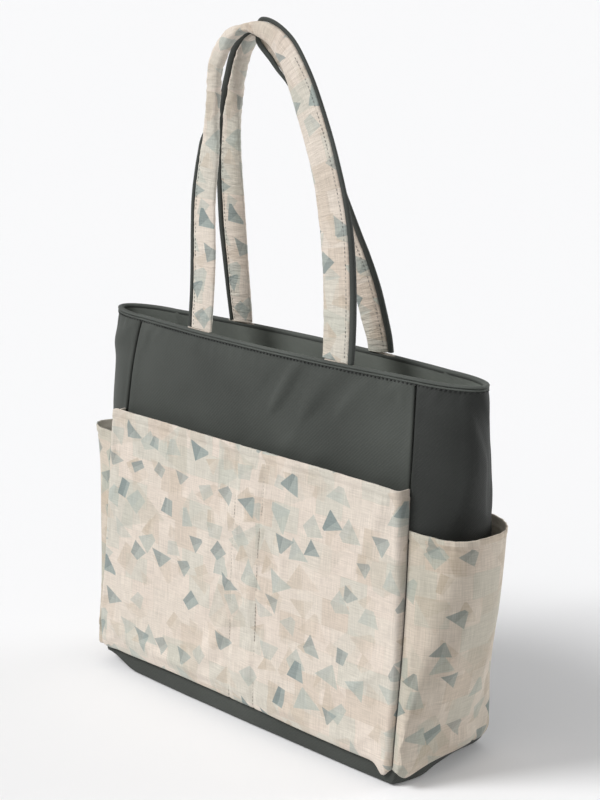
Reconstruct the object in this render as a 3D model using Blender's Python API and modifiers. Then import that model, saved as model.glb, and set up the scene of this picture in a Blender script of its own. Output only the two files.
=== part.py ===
"""A carryall bag: a soft tote of woven panels on a stiff base, with a printed pocket
across its front, a printed pocket on each side and two padded shoulder straps.

X runs along the bag's width, -Y is its front and +Z is up. The origin is the middle of
the base, on the floor. All sizes are in metres.
"""

import math

import bpy
from mathutils import Vector

# Driving sizes of the body
BAG_HEIGHT = 0.330
BASE_SEAM_X = 0.1875  # corner seam from the middle, at the floor
RIM_SEAM_X = 0.1740
BASE_HALF_DEPTH = 0.0605  # at the corner seam
RIM_HALF_DEPTH = 0.0245
BASE_MIDDLE_DEPTH = 0.0625  # at the panel's middle
RIM_MIDDLE_DEPTH = 0.0305
BASE_GUSSET_REACH = 0.0065  # a gusset's middle past its corner seams, at the floor
RIM_GUSSET_REACH = 0.0510
SEAM_TUCK = 0.0040  # how far the corner seams draw in at the rim
SEAM_TUCK_HEIGHT = 0.060
BAND_HEIGHT = 0.0145  # the dark band of the base below the pockets
BASE_EDGE_RADIUS = 0.007

# Cloths and the play between them
SHELL_THICKNESS = 0.0012
LINING_THICKNESS = 0.0008
CANVAS_THICKNESS = 0.0014
BOARD_THICKNESS = 0.0025
PLAY = 0.0003  # between neighbouring pieces
SEAM_PLAY = 0.0008  # between two panels along a corner seam
LINING_SLACK = 0.0006  # lining behind the shell, where no strap lies between
CUT_OVERRUN = 0.004

# Rim
BINDING_THICKNESS = 0.0008
BINDING_DROP = 0.0065
BINDING_CORNER_RADIUS = 0.0022

# Front pocket
FRONT_POCKET_TOP = 0.2465
FRONT_POCKET_STANDOFF = 0.0135
FRONT_POCKET_FOOT_STANDOFF = 0.0055
FRONT_POCKET_CORNER_RADIUS = 0.007
FRONT_POCKET_SEAM_MARGIN = 0.0008  # inside the corner seam

# Side pockets
SIDE_POCKET_TOP = 0.212
SIDE_POCKET_STANDOFF = 0.0165
SIDE_POCKET_FOOT_STANDOFF = 0.0070
SIDE_POCKET_SEAM_MARGIN = 0.0008  # outside the corner seam
SIDE_POCKET_LAP = 0.0006
POCKET_FOOT_RADIUS = 0.014
POCKET_FOOT_LEDGE = 0.0038  # how far a pocket's foot stands off the body

# Straps
STRAP_BORDER_X = 0.0995  # line between sleeve and edging, at the rim
STRAP_DROP = 0.267  # rim to the top of the arch
SLEEVE_WIDTH = 0.0275
SLEEVE_THICKNESS = 0.0050
SLEEVE_WALL = 0.0006
CORE_PLAY = 0.0006
EDGING_WIDTH = 0.0055
EDGING_THICKNESS = 0.0048
TAIL_LENGTH = 0.040
TAIL_THICKNESS = 0.0030
TAIL_RISE = 0.0004  # above the binding
STRAP_END_LENGTH = 0.012  # over which a strap flattens towards the rim
ARCH_HALF_GAP = 0.0078  # from the bag's middle plane to each arch's top
FOLD_LINE_OUT = 0.0002  # fold line in front of the binding
FOLD_LINE_RISE = 0.0012

# Shapes as shares of the sizes that they follow
WIDTH_SHARES = (
    (0.0, 0.0),
    (0.16, 0.10),
    (0.285, 0.38),
    (0.43, 0.71),
    (0.68, 0.96),
    (1.0, 1.0),
)
GUSSET_ROUND_SHARES = ((0.0, 3.2), (0.25, 2.6), (0.6, 2.1), (1.0, 2.0))
INSET_SEAM_SHARE = 0.6  # how much of an inset moves the seam, and not the gusset's reach
END_FLAT_SHARE = 0.68
ROLL_SHARE = 0.9  # how much a strap thickens where it is drawn narrow
SECTION_ROUND_SHARE = 2.8
CORNER_STANDOFF_SHARE = 0.9  # most of a pocket's standoff that its corner may round away

# Each row: place across, height, width of the sleeve, turn of the strap about its run
FRONT_ARCH_SHARES = (
    (-1.00, 0.00, 0.96, 0.0),
    (-0.99, 0.12, 1.00, 0.0),
    (-1.00, 0.30, 1.02, 0.0),
    (-0.99, 0.45, 1.00, 0.1),
    (-0.95, 0.58, 0.92, 0.3),
    (-0.92, 0.68, 0.74, 0.6),
    (-0.90, 0.78, 0.66, 0.9),
    (-0.86, 0.86, 0.64, 1.0),
    (-0.73, 0.93, 0.60, 1.0),
    (-0.52, 0.98, 0.56, 0.8),
    (-0.29, 1.00, 0.62, 0.4),
    (-0.08, 0.98, 0.66, 0.1),
    (0.13, 0.925, 0.70, 0.0),
    (0.33, 0.845, 0.78, 0.0),
    (0.55, 0.705, 0.86, 0.0),
    (0.76, 0.545, 0.92, 0.0),
    (0.90, 0.39, 1.02, 0.0),
    (0.98, 0.23, 1.04, 0.0),
    (1.01, 0.12, 1.02, 0.0),
    (1.00, 0.00, 0.96, 0.0),
)
REAR_ARCH_SHARES = (
    (-0.98, 0.00, 0.96, 0.0),
    (-0.99, 0.12, 0.98, 0.0),
    (-1.02, 0.22, 1.02, 0.0),
    (-1.04, 0.33, 1.06, 0.0),
    (-1.03, 0.44, 1.04, 0.1),
    (-0.99, 0.57, 0.98, 0.3),
    (-0.94, 0.67, 0.86, 0.6),
    (-0.86, 0.77, 0.68, 0.9),
    (-0.77, 0.84, 0.56, 1.0),
    (-0.66, 0.90, 0.52, 1.0),
    (-0.50, 0.945, 0.50, 1.0),
    (-0.34, 0.935, 0.50, 0.9),
    (-0.18, 0.88, 0.54, 0.7),
    (-0.02, 0.80, 0.62, 0.4),
    (0.16, 0.69, 0.74, 0.2),
    (0.36, 0.555, 0.84, 0.0),
    (0.57, 0.425, 0.92, 0.0),
    (0.76, 0.30, 0.98, 0.0),
    (0.90, 0.17, 1.00, 0.0),
    (0.99, 0.00, 0.96, 0.0),
)
ARCH_TURN = math.radians(16)

# Fineness of the meshes
PANEL_STEPS = 10
GUSSET_STEPS = 12
CORNER_STEPS = 3
BINDING_STEPS = 2
FOOT_STEPS = 4
RUN_STEPS = 12
SHARP_ANGLE = math.radians(35)
BODY_ROWS = 4
RIM_ROWS = 5
STRAP_STATIONS = 36
STRAP_SIDES = 8

NYLON = (0.085, 0.095, 0.088)
LINING_NYLON = (0.060, 0.068, 0.064)
CANVAS = (0.760, 0.705, 0.640)
CANVAS_INSIDE = (0.520, 0.480, 0.430)
WEBBING = (0.620, 0.600, 0.560)
BOARD = (0.110, 0.110, 0.110)


# Small helpers


def mix(low, high, share):
    return low + (high - low) * share


def eased(share):
    share = min(max(share, 0.0), 1.0)
    return share * share * (3.0 - 2.0 * share)


def through(table, at):
    """A smooth curve through rows of a table, read at a value of the first column."""
    last = len(table) - 1
    i = 0
    while i < last - 1 and table[i + 1][0] < at:
        i += 1
    before = table[max(i - 1, 0)]
    start = table[i]
    end = table[i + 1]
    after = table[min(i + 2, last)]
    span = end[0] - start[0]
    share = (at - start[0]) / span
    rise = (end[1] - before[1]) / (end[0] - before[0]) * span
    fall = (after[1] - start[1]) / (after[0] - start[0]) * span
    square = share * share
    cube = square * share
    return (
        start[1] * (2.0 * cube - 3.0 * square + 1.0)
        + rise * (cube - 2.0 * square + share)
        + end[1] * (3.0 * square - 2.0 * cube)
        + fall * (cube - square)
    )


def rounded(angle, roundness):
    """A point of a unit outline between a circle, at 2, and a square."""
    power = 2.0 / roundness
    c = math.cos(angle)
    s = math.sin(angle)
    return (
        math.copysign(abs(c) ** power, c),
        math.copysign(abs(s) ** power, s),
    )


def steps(low, high, count):
    return [mix(low, high, i / count) for i in range(count + 1)]


# The body's outline at each height


def height_share(z):
    return z / BAG_HEIGHT


def seam_tuck(z):
    return SEAM_TUCK * max(1.0 - (BAG_HEIGHT - z) / SEAM_TUCK_HEIGHT, 0.0) ** 2


def seam_x(z, inset=0.0):
    seam = mix(BASE_SEAM_X, RIM_SEAM_X, height_share(z))
    return seam - seam_tuck(z) - inset * INSET_SEAM_SHARE


def half_depth(z):
    return mix(BASE_HALF_DEPTH, RIM_HALF_DEPTH, height_share(z)) - seam_tuck(z)


def bow(z):
    """How far a panel's middle stands out past its seams."""
    return mix(BASE_MIDDLE_DEPTH, RIM_MIDDLE_DEPTH, height_share(z)) - half_depth(z)


def half_width(z):
    base = BASE_SEAM_X + BASE_GUSSET_REACH
    rim = RIM_SEAM_X + RIM_GUSSET_REACH
    return mix(base, rim, through(WIDTH_SHARES, height_share(z)))


def gusset_round(z):
    return through(GUSSET_ROUND_SHARES, height_share(z))


def panel_depth(x, z, inset=0.0):
    """How far a front or rear panel lies from the middle plane."""
    across = x / seam_x(z, inset)
    return half_depth(z) - inset + bow(z) * (1.0 - across * across)


def gusset_point(share, z, inset=0.0, margin=SEAM_PLAY / 2):
    """A point of the right gusset: share is -1 at its front seam and 1 at its rear one."""
    seam = seam_x(z, inset) + margin
    reach = half_width(z) - inset - seam
    c, s = rounded(share * math.pi / 2, gusset_round(z))
    return Vector((seam + reach * abs(c), (half_depth(z) - inset) * s, z))


def panel_row(z, inset, margin=SEAM_PLAY / 2):
    """The front panel's points at one height, from left to right."""
    edge = seam_x(z, inset) - margin
    return [Vector((x, -panel_depth(x, z, inset), z)) for x in steps(-edge, edge, PANEL_STEPS)]


def gusset_row(z, inset, margin=SEAM_PLAY / 2):
    """The right gusset's points at one height, from front to rear."""
    return [gusset_point(share, z, inset, margin) for share in steps(-1, 1, GUSSET_STEPS)]


def turned(row):
    """The same points turned half round the bag, for the rear and the left."""
    return [Vector((-p.x, -p.y, p.z)) for p in row]


def body_ring(z, inset):
    """The whole outline at one height, anticlockwise from the front left seam."""
    half = panel_row(z, inset, 0.0)[:-1] + gusset_row(z, inset, 0.0)[:-1]
    return half + turned(half)


# Making objects


def material(name, colour, roughness):
    made = bpy.data.materials.new(name)
    made.use_nodes = True
    shader = made.node_tree.nodes["Principled BSDF"]
    shader.inputs["Base Color"].default_value = (*colour, 1.0)
    shader.inputs["Roughness"].default_value = roughness
    shader.inputs["Metallic"].default_value = 0.0
    made.diffuse_color = (*colour, 1.0)
    return made


def add_object(name, data, finish, parent=None):
    thing = bpy.data.objects.new(name, data)
    data.materials.append(material(name, *finish))
    parts.objects.link(thing)
    if parent:
        thing.parent = parent
    return thing


def grid_mesh(name, rows, closed=False, low_cap=False, high_cap=False):
    """Faces between rows of points. Rows that run anticlockwise and rise face outwards."""
    count = len(rows[0])
    points = [tuple(p) for row in rows for p in row]
    faces = []
    for i in range(len(rows) - 1):
        for j in range(count if closed else count - 1):
            k = (j + 1) % count
            faces.append(
                (i * count + j, i * count + k, (i + 1) * count + k, (i + 1) * count + j)
            )
    if low_cap:
        faces.append(tuple(reversed(range(count))))
    if high_cap:
        first = (len(rows) - 1) * count
        faces.append(tuple(range(first, first + count)))
    mesh = bpy.data.meshes.new(name)
    mesh.from_pydata(points, [], faces)
    mesh.validate()
    mesh.shade_smooth()
    mesh.set_sharp_from_angle(angle=SHARP_ANGLE)
    return mesh


def thicken(thing, thickness):
    """Gives an open surface its cloth, on its inner side."""
    solid = thing.modifiers.new("Cloth", "SOLIDIFY")
    solid.thickness = thickness
    solid.offset = -1.0
    solid.use_even_offset = True
    solid.use_quality_normals = True
    return thing


def cloth(name, rows, thickness, finish, closed=False, low_cap=False, parent=None):
    mesh = grid_mesh(name, rows, closed, low_cap)
    return thicken(add_object(name, mesh, finish, parent), thickness)


def lofted(name, rings, finish, parent=None):
    mesh = grid_mesh(name, rings, closed=True, low_cap=True, high_cap=True)
    return add_object(name, mesh, finish, parent)


def cutter(name, rings):
    mesh = grid_mesh(name, rings, closed=True, low_cap=True, high_cap=True)
    thing = bpy.data.objects.new(name, mesh)
    thing.hide_render = True
    thing.display_type = "WIRE"
    cutters.objects.link(thing)
    return thing


def cut(thing, tool):
    boolean = thing.modifiers.new(tool.name, "BOOLEAN")
    boolean.operation = "DIFFERENCE"
    boolean.solver = "EXACT"
    boolean.object = tool


def flat_sheet(name, ring, low, thickness, finish):
    """A flat piece of the outline's shape."""
    outline = bpy.data.curves.new(name, "CURVE")
    outline.dimensions = "2D"
    outline.fill_mode = "BOTH"
    outline.extrude = thickness / 2
    spline = outline.splines.new("POLY")
    spline.points.add(len(ring) - 1)
    for point, place in zip(spline.points, ring):
        point.co = (place.x, place.y, 0.0, 1.0)
    spline.use_cyclic_u = True
    thing = add_object(name, outline, finish)
    thing.location = (0.0, 0.0, low + thickness / 2)
    return thing


# Shell, base and lining

RIM_TOP = BAG_HEIGHT
SHELL_TOP = RIM_TOP - BINDING_CORNER_RADIUS
SHELL_FOOT = BAND_HEIGHT + PLAY
BOARD_LOW = SHELL_THICKNESS + PLAY
LINING_FLOOR = BOARD_LOW + BOARD_THICKNESS + PLAY
LINING_FOOT = LINING_FLOOR + LINING_THICKNESS + PLAY
LINING_REST_INSET = SHELL_THICKNESS + LINING_SLACK
STRAP_CHANNEL = PLAY + TAIL_THICKNESS + PLAY
LINING_RIM_INSET = SHELL_THICKNESS + STRAP_CHANNEL


def heights_to_rim(low):
    """Wide steps up the body, then close ones where it draws in to the rim."""
    narrowing = RIM_TOP - 2.0 * TAIL_LENGTH
    return steps(low, narrowing, BODY_ROWS)[:-1] + steps(narrowing, SHELL_TOP, RIM_ROWS)


def lining_inset(z):
    """The lining leaves the shell near the rim, where the strap tails lie between them."""
    start = RIM_TOP - 2.0 * TAIL_LENGTH
    share = (z - start) / (TAIL_LENGTH - 2.0 * PLAY)
    return mix(LINING_REST_INSET, LINING_RIM_INSET, eased(share))


def make_shell():
    heights = heights_to_rim(SHELL_FOOT)
    front = [panel_row(z, 0.0) for z in heights]
    right = [gusset_row(z, 0.0) for z in heights]
    finish = (NYLON, 0.72)
    cloth("front_panel", front, SHELL_THICKNESS, finish)
    cloth("rear_panel", [turned(row) for row in front], SHELL_THICKNESS, finish)
    cloth("right_gusset", right, SHELL_THICKNESS, finish)
    cloth("left_gusset", [turned(row) for row in right], SHELL_THICKNESS, finish)


def make_base():
    """The base panel is a low tray. A board and the lining's floor lie in it."""
    rings = []
    for angle in steps(0.0, math.pi / 2, CORNER_STEPS):
        z = BASE_EDGE_RADIUS * (1.0 - math.cos(angle))
        inset = BASE_EDGE_RADIUS * (1.0 - math.sin(angle))
        rings.append(body_ring(z, inset))
    rings.append(body_ring(BAND_HEIGHT, 0.0))
    cloth("base_panel", rings, SHELL_THICKNESS, (NYLON, 0.75), closed=True, low_cap=True)
    board = body_ring(BOARD_LOW, BASE_EDGE_RADIUS)
    flat_sheet("base_board", board, BOARD_LOW, BOARD_THICKNESS, (BOARD, 0.8))
    floor = body_ring(LINING_FLOOR, LINING_REST_INSET + LINING_THICKNESS)
    flat_sheet("lining_base", floor, LINING_FLOOR, LINING_THICKNESS, (LINING_NYLON, 0.8))


def make_lining():
    heights = heights_to_rim(LINING_FOOT)
    front = [panel_row(z, lining_inset(z)) for z in heights]
    right = [gusset_row(z, lining_inset(z)) for z in heights]
    finish = (LINING_NYLON, 0.8)
    cloth("lining_front", front, LINING_THICKNESS, finish)
    cloth("lining_rear", [turned(row) for row in front], LINING_THICKNESS, finish)
    cloth("lining_right", right, LINING_THICKNESS, finish)
    cloth("lining_left", [turned(row) for row in right], LINING_THICKNESS, finish)


# Rim binding and the strap tails below it

BINDING_OUT = PLAY + BINDING_THICKNESS  # outside the shell
BINDING_IN = LINING_RIM_INSET + LINING_THICKNESS + LINING_SLACK + BINDING_THICKNESS
TAIL_INSET = SHELL_THICKNESS + PLAY
TAIL_INNER_X = STRAP_BORDER_X - SLEEVE_WIDTH + PLAY
TAIL_OUTER_X = STRAP_BORDER_X + EDGING_WIDTH - PLAY

# Each row: name, side of the front panel, whether it is turned to the rear
STRAP_PLACES = (
    ("front_left", -1, False),
    ("front_right", 1, False),
    ("rear_left", 1, True),
    ("rear_right", -1, True),
)


def strip_ring(z, low_x, high_x, inset, depth):
    """The outline of a flat strip that follows the front panel inside it."""
    across = steps(low_x, high_x, CORNER_STEPS)
    outer = [Vector((x, -panel_depth(x, z) + inset, z)) for x in across]
    inner = [Vector((p.x, p.y + depth, p.z)) for p in reversed(outer)]
    return outer + inner


def make_rim():
    profile = [(-BINDING_OUT, RIM_TOP - BINDING_DROP)]
    radius = BINDING_CORNER_RADIUS
    for angle in steps(0.0, math.pi / 2, BINDING_STEPS):
        out = radius * (1.0 - math.cos(angle))
        rise = radius * (1.0 - math.sin(angle))
        profile.append((out - BINDING_OUT, RIM_TOP - rise))
    for angle in steps(math.pi / 2, 0.0, BINDING_STEPS):
        out = radius * (1.0 - math.cos(angle))
        rise = radius * (1.0 - math.sin(angle))
        profile.append((BINDING_IN - out, RIM_TOP - rise))
    profile.append((BINDING_IN, RIM_TOP - BINDING_DROP))
    rings = [body_ring(z, inset) for inset, z in profile]
    binding = cloth("rim_binding", rings, BINDING_THICKNESS, (NYLON, 0.7), closed=True)
    for name, side, turn in STRAP_PLACES:
        low_x, high_x = sorted((side * TAIL_INNER_X, side * TAIL_OUTER_X))
        tail = [
            strip_ring(z, low_x, high_x, TAIL_INSET, TAIL_THICKNESS)
            for z in steps(RIM_TOP - TAIL_LENGTH, RIM_TOP + TAIL_RISE, RIM_ROWS)
        ]
        slot = [
            strip_ring(z, low_x - PLAY, high_x + PLAY, SHELL_THICKNESS, STRAP_CHANNEL)
            for z in (RIM_TOP - BINDING_DROP, RIM_TOP + CUT_OVERRUN)
        ]
        if turn:
            tail = [turned(ring) for ring in tail]
            slot = [turned(ring) for ring in slot]
        lofted(name + "_strap_tail", tail, (CANVAS, 0.85))
        cut(binding, cutter(name + "_strap_slot", slot))


# Pockets


def foot_rise(z, low):
    """0 at a pocket's foot and 1 above its rounded part."""
    share = min(max((z - low) / POCKET_FOOT_RADIUS, 0.0), 1.0)
    return math.sqrt(1.0 - (1.0 - share) ** 2)


def pocket_heights(low, top):
    """Heights close together over the rounded foot, and wider above it."""
    angles = steps(0.0, math.pi / 2, FOOT_STEPS)
    foot = [low + POCKET_FOOT_RADIUS * (1.0 - math.cos(angle)) for angle in angles]
    return foot + steps(low + POCKET_FOOT_RADIUS, top, BODY_ROWS)[1:]


def front_pocket_standoff(z, low):
    full = mix(
        FRONT_POCKET_FOOT_STANDOFF,
        FRONT_POCKET_STANDOFF,
        (z - low) / (FRONT_POCKET_TOP - low),
    )
    return mix(POCKET_FOOT_LEDGE, full, foot_rise(z, low))


def front_pocket_ring(z, low, inset, back):
    """The pocket's outline: its front from left to right, then its back along the panel."""
    edge = seam_x(z) - FRONT_POCKET_SEAM_MARGIN - inset
    out = front_pocket_standoff(max(z - inset, low), low) - inset
    radius = min(FRONT_POCKET_CORNER_RADIUS - inset, out * CORNER_STANDOFF_SHARE)
    corner = []
    for angle in steps(0.0, math.pi / 2, CORNER_STEPS):
        x = edge - radius * (1.0 - math.cos(angle))
        corner.append((x, out - radius * (1.0 - math.sin(angle))))
    inner = edge - radius
    front = [(-x, stand) for x, stand in corner]
    front += [(x, out) for x in steps(-inner, inner, PANEL_STEPS)[1:-1]]
    front += [(x, stand) for x, stand in reversed(corner)]
    rear = [(x, -back) for x in steps(edge, -edge, PANEL_STEPS)]
    return [Vector((x, -panel_depth(x, z) - PLAY - stand, z)) for x, stand in front + rear]


def make_front_pocket():
    low = SHELL_FOOT + PLAY
    layers = (
        ("front_pocket", 0.0, CANVAS_THICKNESS, (CANVAS, 0.85)),
        (
            "front_pocket_lining",
            CANVAS_THICKNESS + PLAY,
            LINING_THICKNESS,
            (CANVAS_INSIDE, 0.85),
        ),
    )
    for name, inset, thickness, finish in layers:
        top = FRONT_POCKET_TOP - inset
        foot = low + inset
        rings = [front_pocket_ring(z, low, inset, 0.0) for z in pocket_heights(foot, top)]
        pocket = lofted(name, rings, finish)
        inner = inset + thickness
        heights = pocket_heights(low + inner, top) + [top + CUT_OVERRUN]
        hollow = [front_pocket_ring(z, low, inner, CUT_OVERRUN) for z in heights]
        cut(pocket, cutter(name + "_hollow", hollow))


def side_pocket_standoff(z, low):
    full = mix(
        SIDE_POCKET_FOOT_STANDOFF,
        SIDE_POCKET_STANDOFF,
        (z - low) / (SIDE_POCKET_TOP - low),
    )
    return mix(POCKET_FOOT_LEDGE, full, foot_rise(z, low))


def side_pocket_ring(z, low, inset, lap, back):
    """A crescent: the pocket's outer side from front to rear, then back along the gusset."""
    seam = seam_x(z) + SIDE_POCKET_SEAM_MARGIN
    reach = half_width(z) - seam + PLAY
    depth = half_depth(z) + PLAY
    out = side_pocket_standoff(max(z - inset, low), low) - inset
    roundness = gusset_round(z)
    ring = []
    for share in steps(-1, 1, GUSSET_STEPS):
        c, s = rounded(share * math.pi / 2, roundness)
        side = depth + CANVAS_THICKNESS - inset - lap
        ring.append(Vector((seam + (reach + out) * abs(c), side * s, z)))
    for share in steps(1, -1, GUSSET_STEPS):
        c, s = rounded(share * math.pi / 2, roundness)
        ring.append(Vector((seam + (reach - back) * abs(c), (depth - lap - back) * s, z)))
    return ring


def make_side_pockets():
    low = SHELL_FOOT + PLAY
    inset = CANVAS_THICKNESS
    rings = [
        side_pocket_ring(z, low, 0.0, 0.0, 0.0) for z in pocket_heights(low, SIDE_POCKET_TOP)
    ]
    heights = pocket_heights(low + inset, SIDE_POCKET_TOP) + [SIDE_POCKET_TOP + CUT_OVERRUN]
    hollow = [side_pocket_ring(z, low, inset, SIDE_POCKET_LAP, CUT_OVERRUN) for z in heights]
    for name, turn in (("right_side_pocket", False), ("left_side_pocket", True)):
        outer = [turned(ring) for ring in rings] if turn else rings
        inner = [turned(ring) for ring in hollow] if turn else hollow
        pocket = lofted(name, outer, (CANVAS, 0.85))
        cut(pocket, cutter(name + "_hollow", inner))


# Straps

STRAP_MIDDLE_X = (TAIL_INNER_X + TAIL_OUTER_X) / 2
STRAP_Y = panel_depth(STRAP_MIDDLE_X, RIM_TOP) - TAIL_INSET - TAIL_THICKNESS / 2
STRAP_FOOT = RIM_TOP + TAIL_RISE + PLAY
FOLD_LINE_Y = panel_depth(STRAP_MIDDLE_X, RIM_TOP) + BINDING_OUT + FOLD_LINE_OUT
FOLD_LINE_Z = RIM_TOP + FOLD_LINE_RISE


def smooth_run(table, count):
    """Rows spaced evenly along a smooth curve through the table's rows."""
    fine = []
    last = len(table) - 1
    for i in range(last):
        before = table[max(i - 1, 0)]
        after = table[min(i + 2, last)]
        for share in steps(0.0, 1.0, RUN_STEPS)[:-1]:
            row = []
            for a, b, c, d in zip(before, table[i], table[i + 1], after):
                row.append(
                    b
                    + share * (c - a) / 2
                    + share**2 * (a - 2.5 * b + 2 * c - d / 2)
                    + share**3 * (1.5 * (b - c) + (d - a) / 2)
                )
            fine.append(row)
    fine.append(list(table[last]))
    lengths = [0.0]
    for one, two in zip(fine, fine[1:]):
        across = (two[0] - one[0]) * STRAP_BORDER_X
        up = (two[1] - one[1]) * STRAP_DROP
        lengths.append(lengths[-1] + math.hypot(across, up))
    run = []
    j = 0
    for goal in steps(0.0, lengths[-1], count):
        while j < len(fine) - 2 and lengths[j + 1] < goal:
            j += 1
        share = (goal - lengths[j]) / (lengths[j + 1] - lengths[j])
        run.append([mix(a, b, share) for a, b in zip(fine[j], fine[j + 1])])
    return run, lengths[-1]


class Station:
    """A place along a strap: its border line, outward direction and thickness direction."""

    def __init__(self, place, along, share, turn, flatness):
        self.place = place
        outward = Vector((0.0, -1.0, 0.0)).cross(along)
        outward = (outward - along * outward.dot(along)).normalized()
        through_it = along.cross(outward)
        self.across = outward * math.cos(turn) + through_it * math.sin(turn)
        self.through_it = along.cross(self.across)
        self.share = share
        self.flatness = flatness

    def section(self, middle, width, thickness, sides):
        """A flattened round section, middle being its distance from the border line."""
        ring = []
        for i in range(sides):
            c, s = rounded(2.0 * math.pi * (i + 0.5) / sides, SECTION_ROUND_SHARE)
            across = self.across * (middle + c * width / 2)
            ring.append(self.place + across + self.through_it * (s * thickness / 2))
        return ring


def strap_stations(table, side):
    """side is -1 for the front strap and 1 for the rear one."""
    run, length = smooth_run(table, STRAP_STATIONS)
    foot = Vector((0.0, side * STRAP_Y, STRAP_FOOT))
    drop = STRAP_DROP - (STRAP_FOOT - RIM_TOP)
    up = Vector((0.0, side * (ARCH_HALF_GAP - STRAP_Y), drop))
    places = [foot + Vector((row[0] * STRAP_BORDER_X, 0.0, 0.0)) + up * row[1] for row in run]
    stations = []
    for i, row in enumerate(run):
        ahead = places[min(i + 1, STRAP_STATIONS)]
        behind = places[max(i - 1, 0)]
        along = (ahead - behind).normalized()
        if i in (0, STRAP_STATIONS):
            along = Vector((0.0, 0.0, 1.0 if i == 0 else -1.0))
        end = min(i, STRAP_STATIONS - i) * length / STRAP_STATIONS
        flatness = mix(END_FLAT_SHARE, 1.0, eased(end / STRAP_END_LENGTH))
        turn = side * -ARCH_TURN * row[3]
        stations.append(Station(places[i], along, row[2], turn, flatness))
    return stations


def make_strap(name, table, side):
    fold = bpy.data.objects.new(name + "_fold", None)
    fold.location = (0.0, side * FOLD_LINE_Y, FOLD_LINE_Z)
    parts.objects.link(fold)
    stations = strap_stations(table, side)
    sleeve = []
    core = []
    edging = []
    for s in stations:
        width = SLEEVE_WIDTH * s.share
        roll = 1.0 + ROLL_SHARE * (1.0 - min(s.share, 1.0))
        thickness = SLEEVE_THICKNESS * roll * s.flatness
        middle = -(width + PLAY) / 2
        hidden = 2.0 * (SLEEVE_WALL + CORE_PLAY)
        sleeve.append(s.section(middle, width, thickness, STRAP_SIDES))
        core.append(s.section(middle, width - hidden, thickness - hidden, STRAP_SIDES))
        middle = (EDGING_WIDTH + PLAY) / 2
        edging.append(
            s.section(middle, EDGING_WIDTH, EDGING_THICKNESS * s.flatness, STRAP_SIDES)
        )

    def local(rings):
        return [[p - fold.location for p in ring] for ring in rings]

    cloth(name + "_sleeve", local(sleeve), SLEEVE_WALL, (CANVAS, 0.85), True, parent=fold)
    lofted(name + "_core", local(core), (WEBBING, 0.9), fold)
    lofted(name + "_edging", local(edging), (NYLON, 0.7), fold)


for old in list(bpy.data.objects):
    bpy.data.objects.remove(old, do_unlink=True)
parts = bpy.data.collections.new("carryall_bag")
cutters = bpy.data.collections.new("cutters")
bpy.context.scene.collection.children.link(parts)
bpy.context.scene.collection.children.link(cutters)

make_shell()
make_base()
make_lining()
make_rim()
make_front_pocket()
make_side_pockets()
make_strap("front_handle", FRONT_ARCH_SHARES, -1)
make_strap("rear_handle", REAR_ARCH_SHARES, 1)
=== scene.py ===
"""Looks of the carryall bag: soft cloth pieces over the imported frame, in its metres.

X runs along the bag's width, -Y is its front and +Z is up.
"""

import math

import bpy
from mathutils import Euler, Matrix, Vector, noise


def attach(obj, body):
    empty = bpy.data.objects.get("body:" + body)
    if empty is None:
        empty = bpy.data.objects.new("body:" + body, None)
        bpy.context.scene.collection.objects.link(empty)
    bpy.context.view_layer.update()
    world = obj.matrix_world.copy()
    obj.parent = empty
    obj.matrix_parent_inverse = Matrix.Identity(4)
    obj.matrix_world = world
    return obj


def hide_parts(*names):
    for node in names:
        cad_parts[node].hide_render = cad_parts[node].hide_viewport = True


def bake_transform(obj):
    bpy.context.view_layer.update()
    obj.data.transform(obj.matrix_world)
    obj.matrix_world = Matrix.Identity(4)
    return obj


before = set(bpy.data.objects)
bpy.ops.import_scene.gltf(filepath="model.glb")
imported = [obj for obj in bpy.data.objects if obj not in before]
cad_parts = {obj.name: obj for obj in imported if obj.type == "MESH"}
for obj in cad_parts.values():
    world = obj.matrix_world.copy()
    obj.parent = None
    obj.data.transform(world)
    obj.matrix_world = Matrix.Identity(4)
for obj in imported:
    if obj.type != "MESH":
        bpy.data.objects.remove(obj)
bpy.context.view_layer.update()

BODY = "bag_body"
FRONT = LEFT = -1
REAR = RIGHT = 1

# Sizes of the body, as in the part, and of its cloth as shown

HEIGHT = 0.330
BAND = 0.0172
SHELL_CLOTH = 0.0009
SHELL_DIP = 0.0006
CANVAS = 0.0014
PLAY = 0.0003
SEAM_MARGIN = 0.0004
SEAM_ROLL = 0.0016
POCKET_SEAM = 0.0008
RIM_STITCH_DROP = 0.0053
POCKET_LOW = 0.0151
POCKET_TOP = 0.2465
SIDE_TOP = 0.212
HEM = 0.0078
FOOT_RADIUS = 0.014
FOOT_LEDGE = 0.0038
LINING_FLOOR = 0.0043
# The pen slot's left and right seams, as (height, x)
PEN_SLOT = (
    ((0.018, -0.0072), (0.142, -0.0100), (0.198, -0.0080), (0.245, -0.0055)),
    ((0.018, 0.0240), (0.161, 0.0228), (0.202, 0.0264), (0.245, 0.0276)),
)

# By share of the height: how much of the widening is reached, and how round the gussets are.
# 2 is an ellipse, and more is squarer.
WIDTHS = ((0.0, 0.0), (0.16, 0.10), (0.285, 0.38), (0.43, 0.71), (0.68, 0.96), (1.0, 1.0))
ROUNDS = ((0.0, 3.2), (0.25, 2.6), (0.6, 2.1), (1.0, 2.0))

# The straps
SLEEVE_WIDTH = 0.0275
SLEEVE_THICKNESS = 0.0050
EDGING_FULLNESS = 0.75
STRAP_Y = 0.0248
STRAP_FOOT = 0.3307
STRAP_TOP = 0.597
ARCH_HALF_GAP = 0.0078
STRAP_ROWS = 560
STRAP_ROUNDNESS = 2.6
SLEEVE_SIDES = 32
EDGING_SIDES = 14
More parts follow.
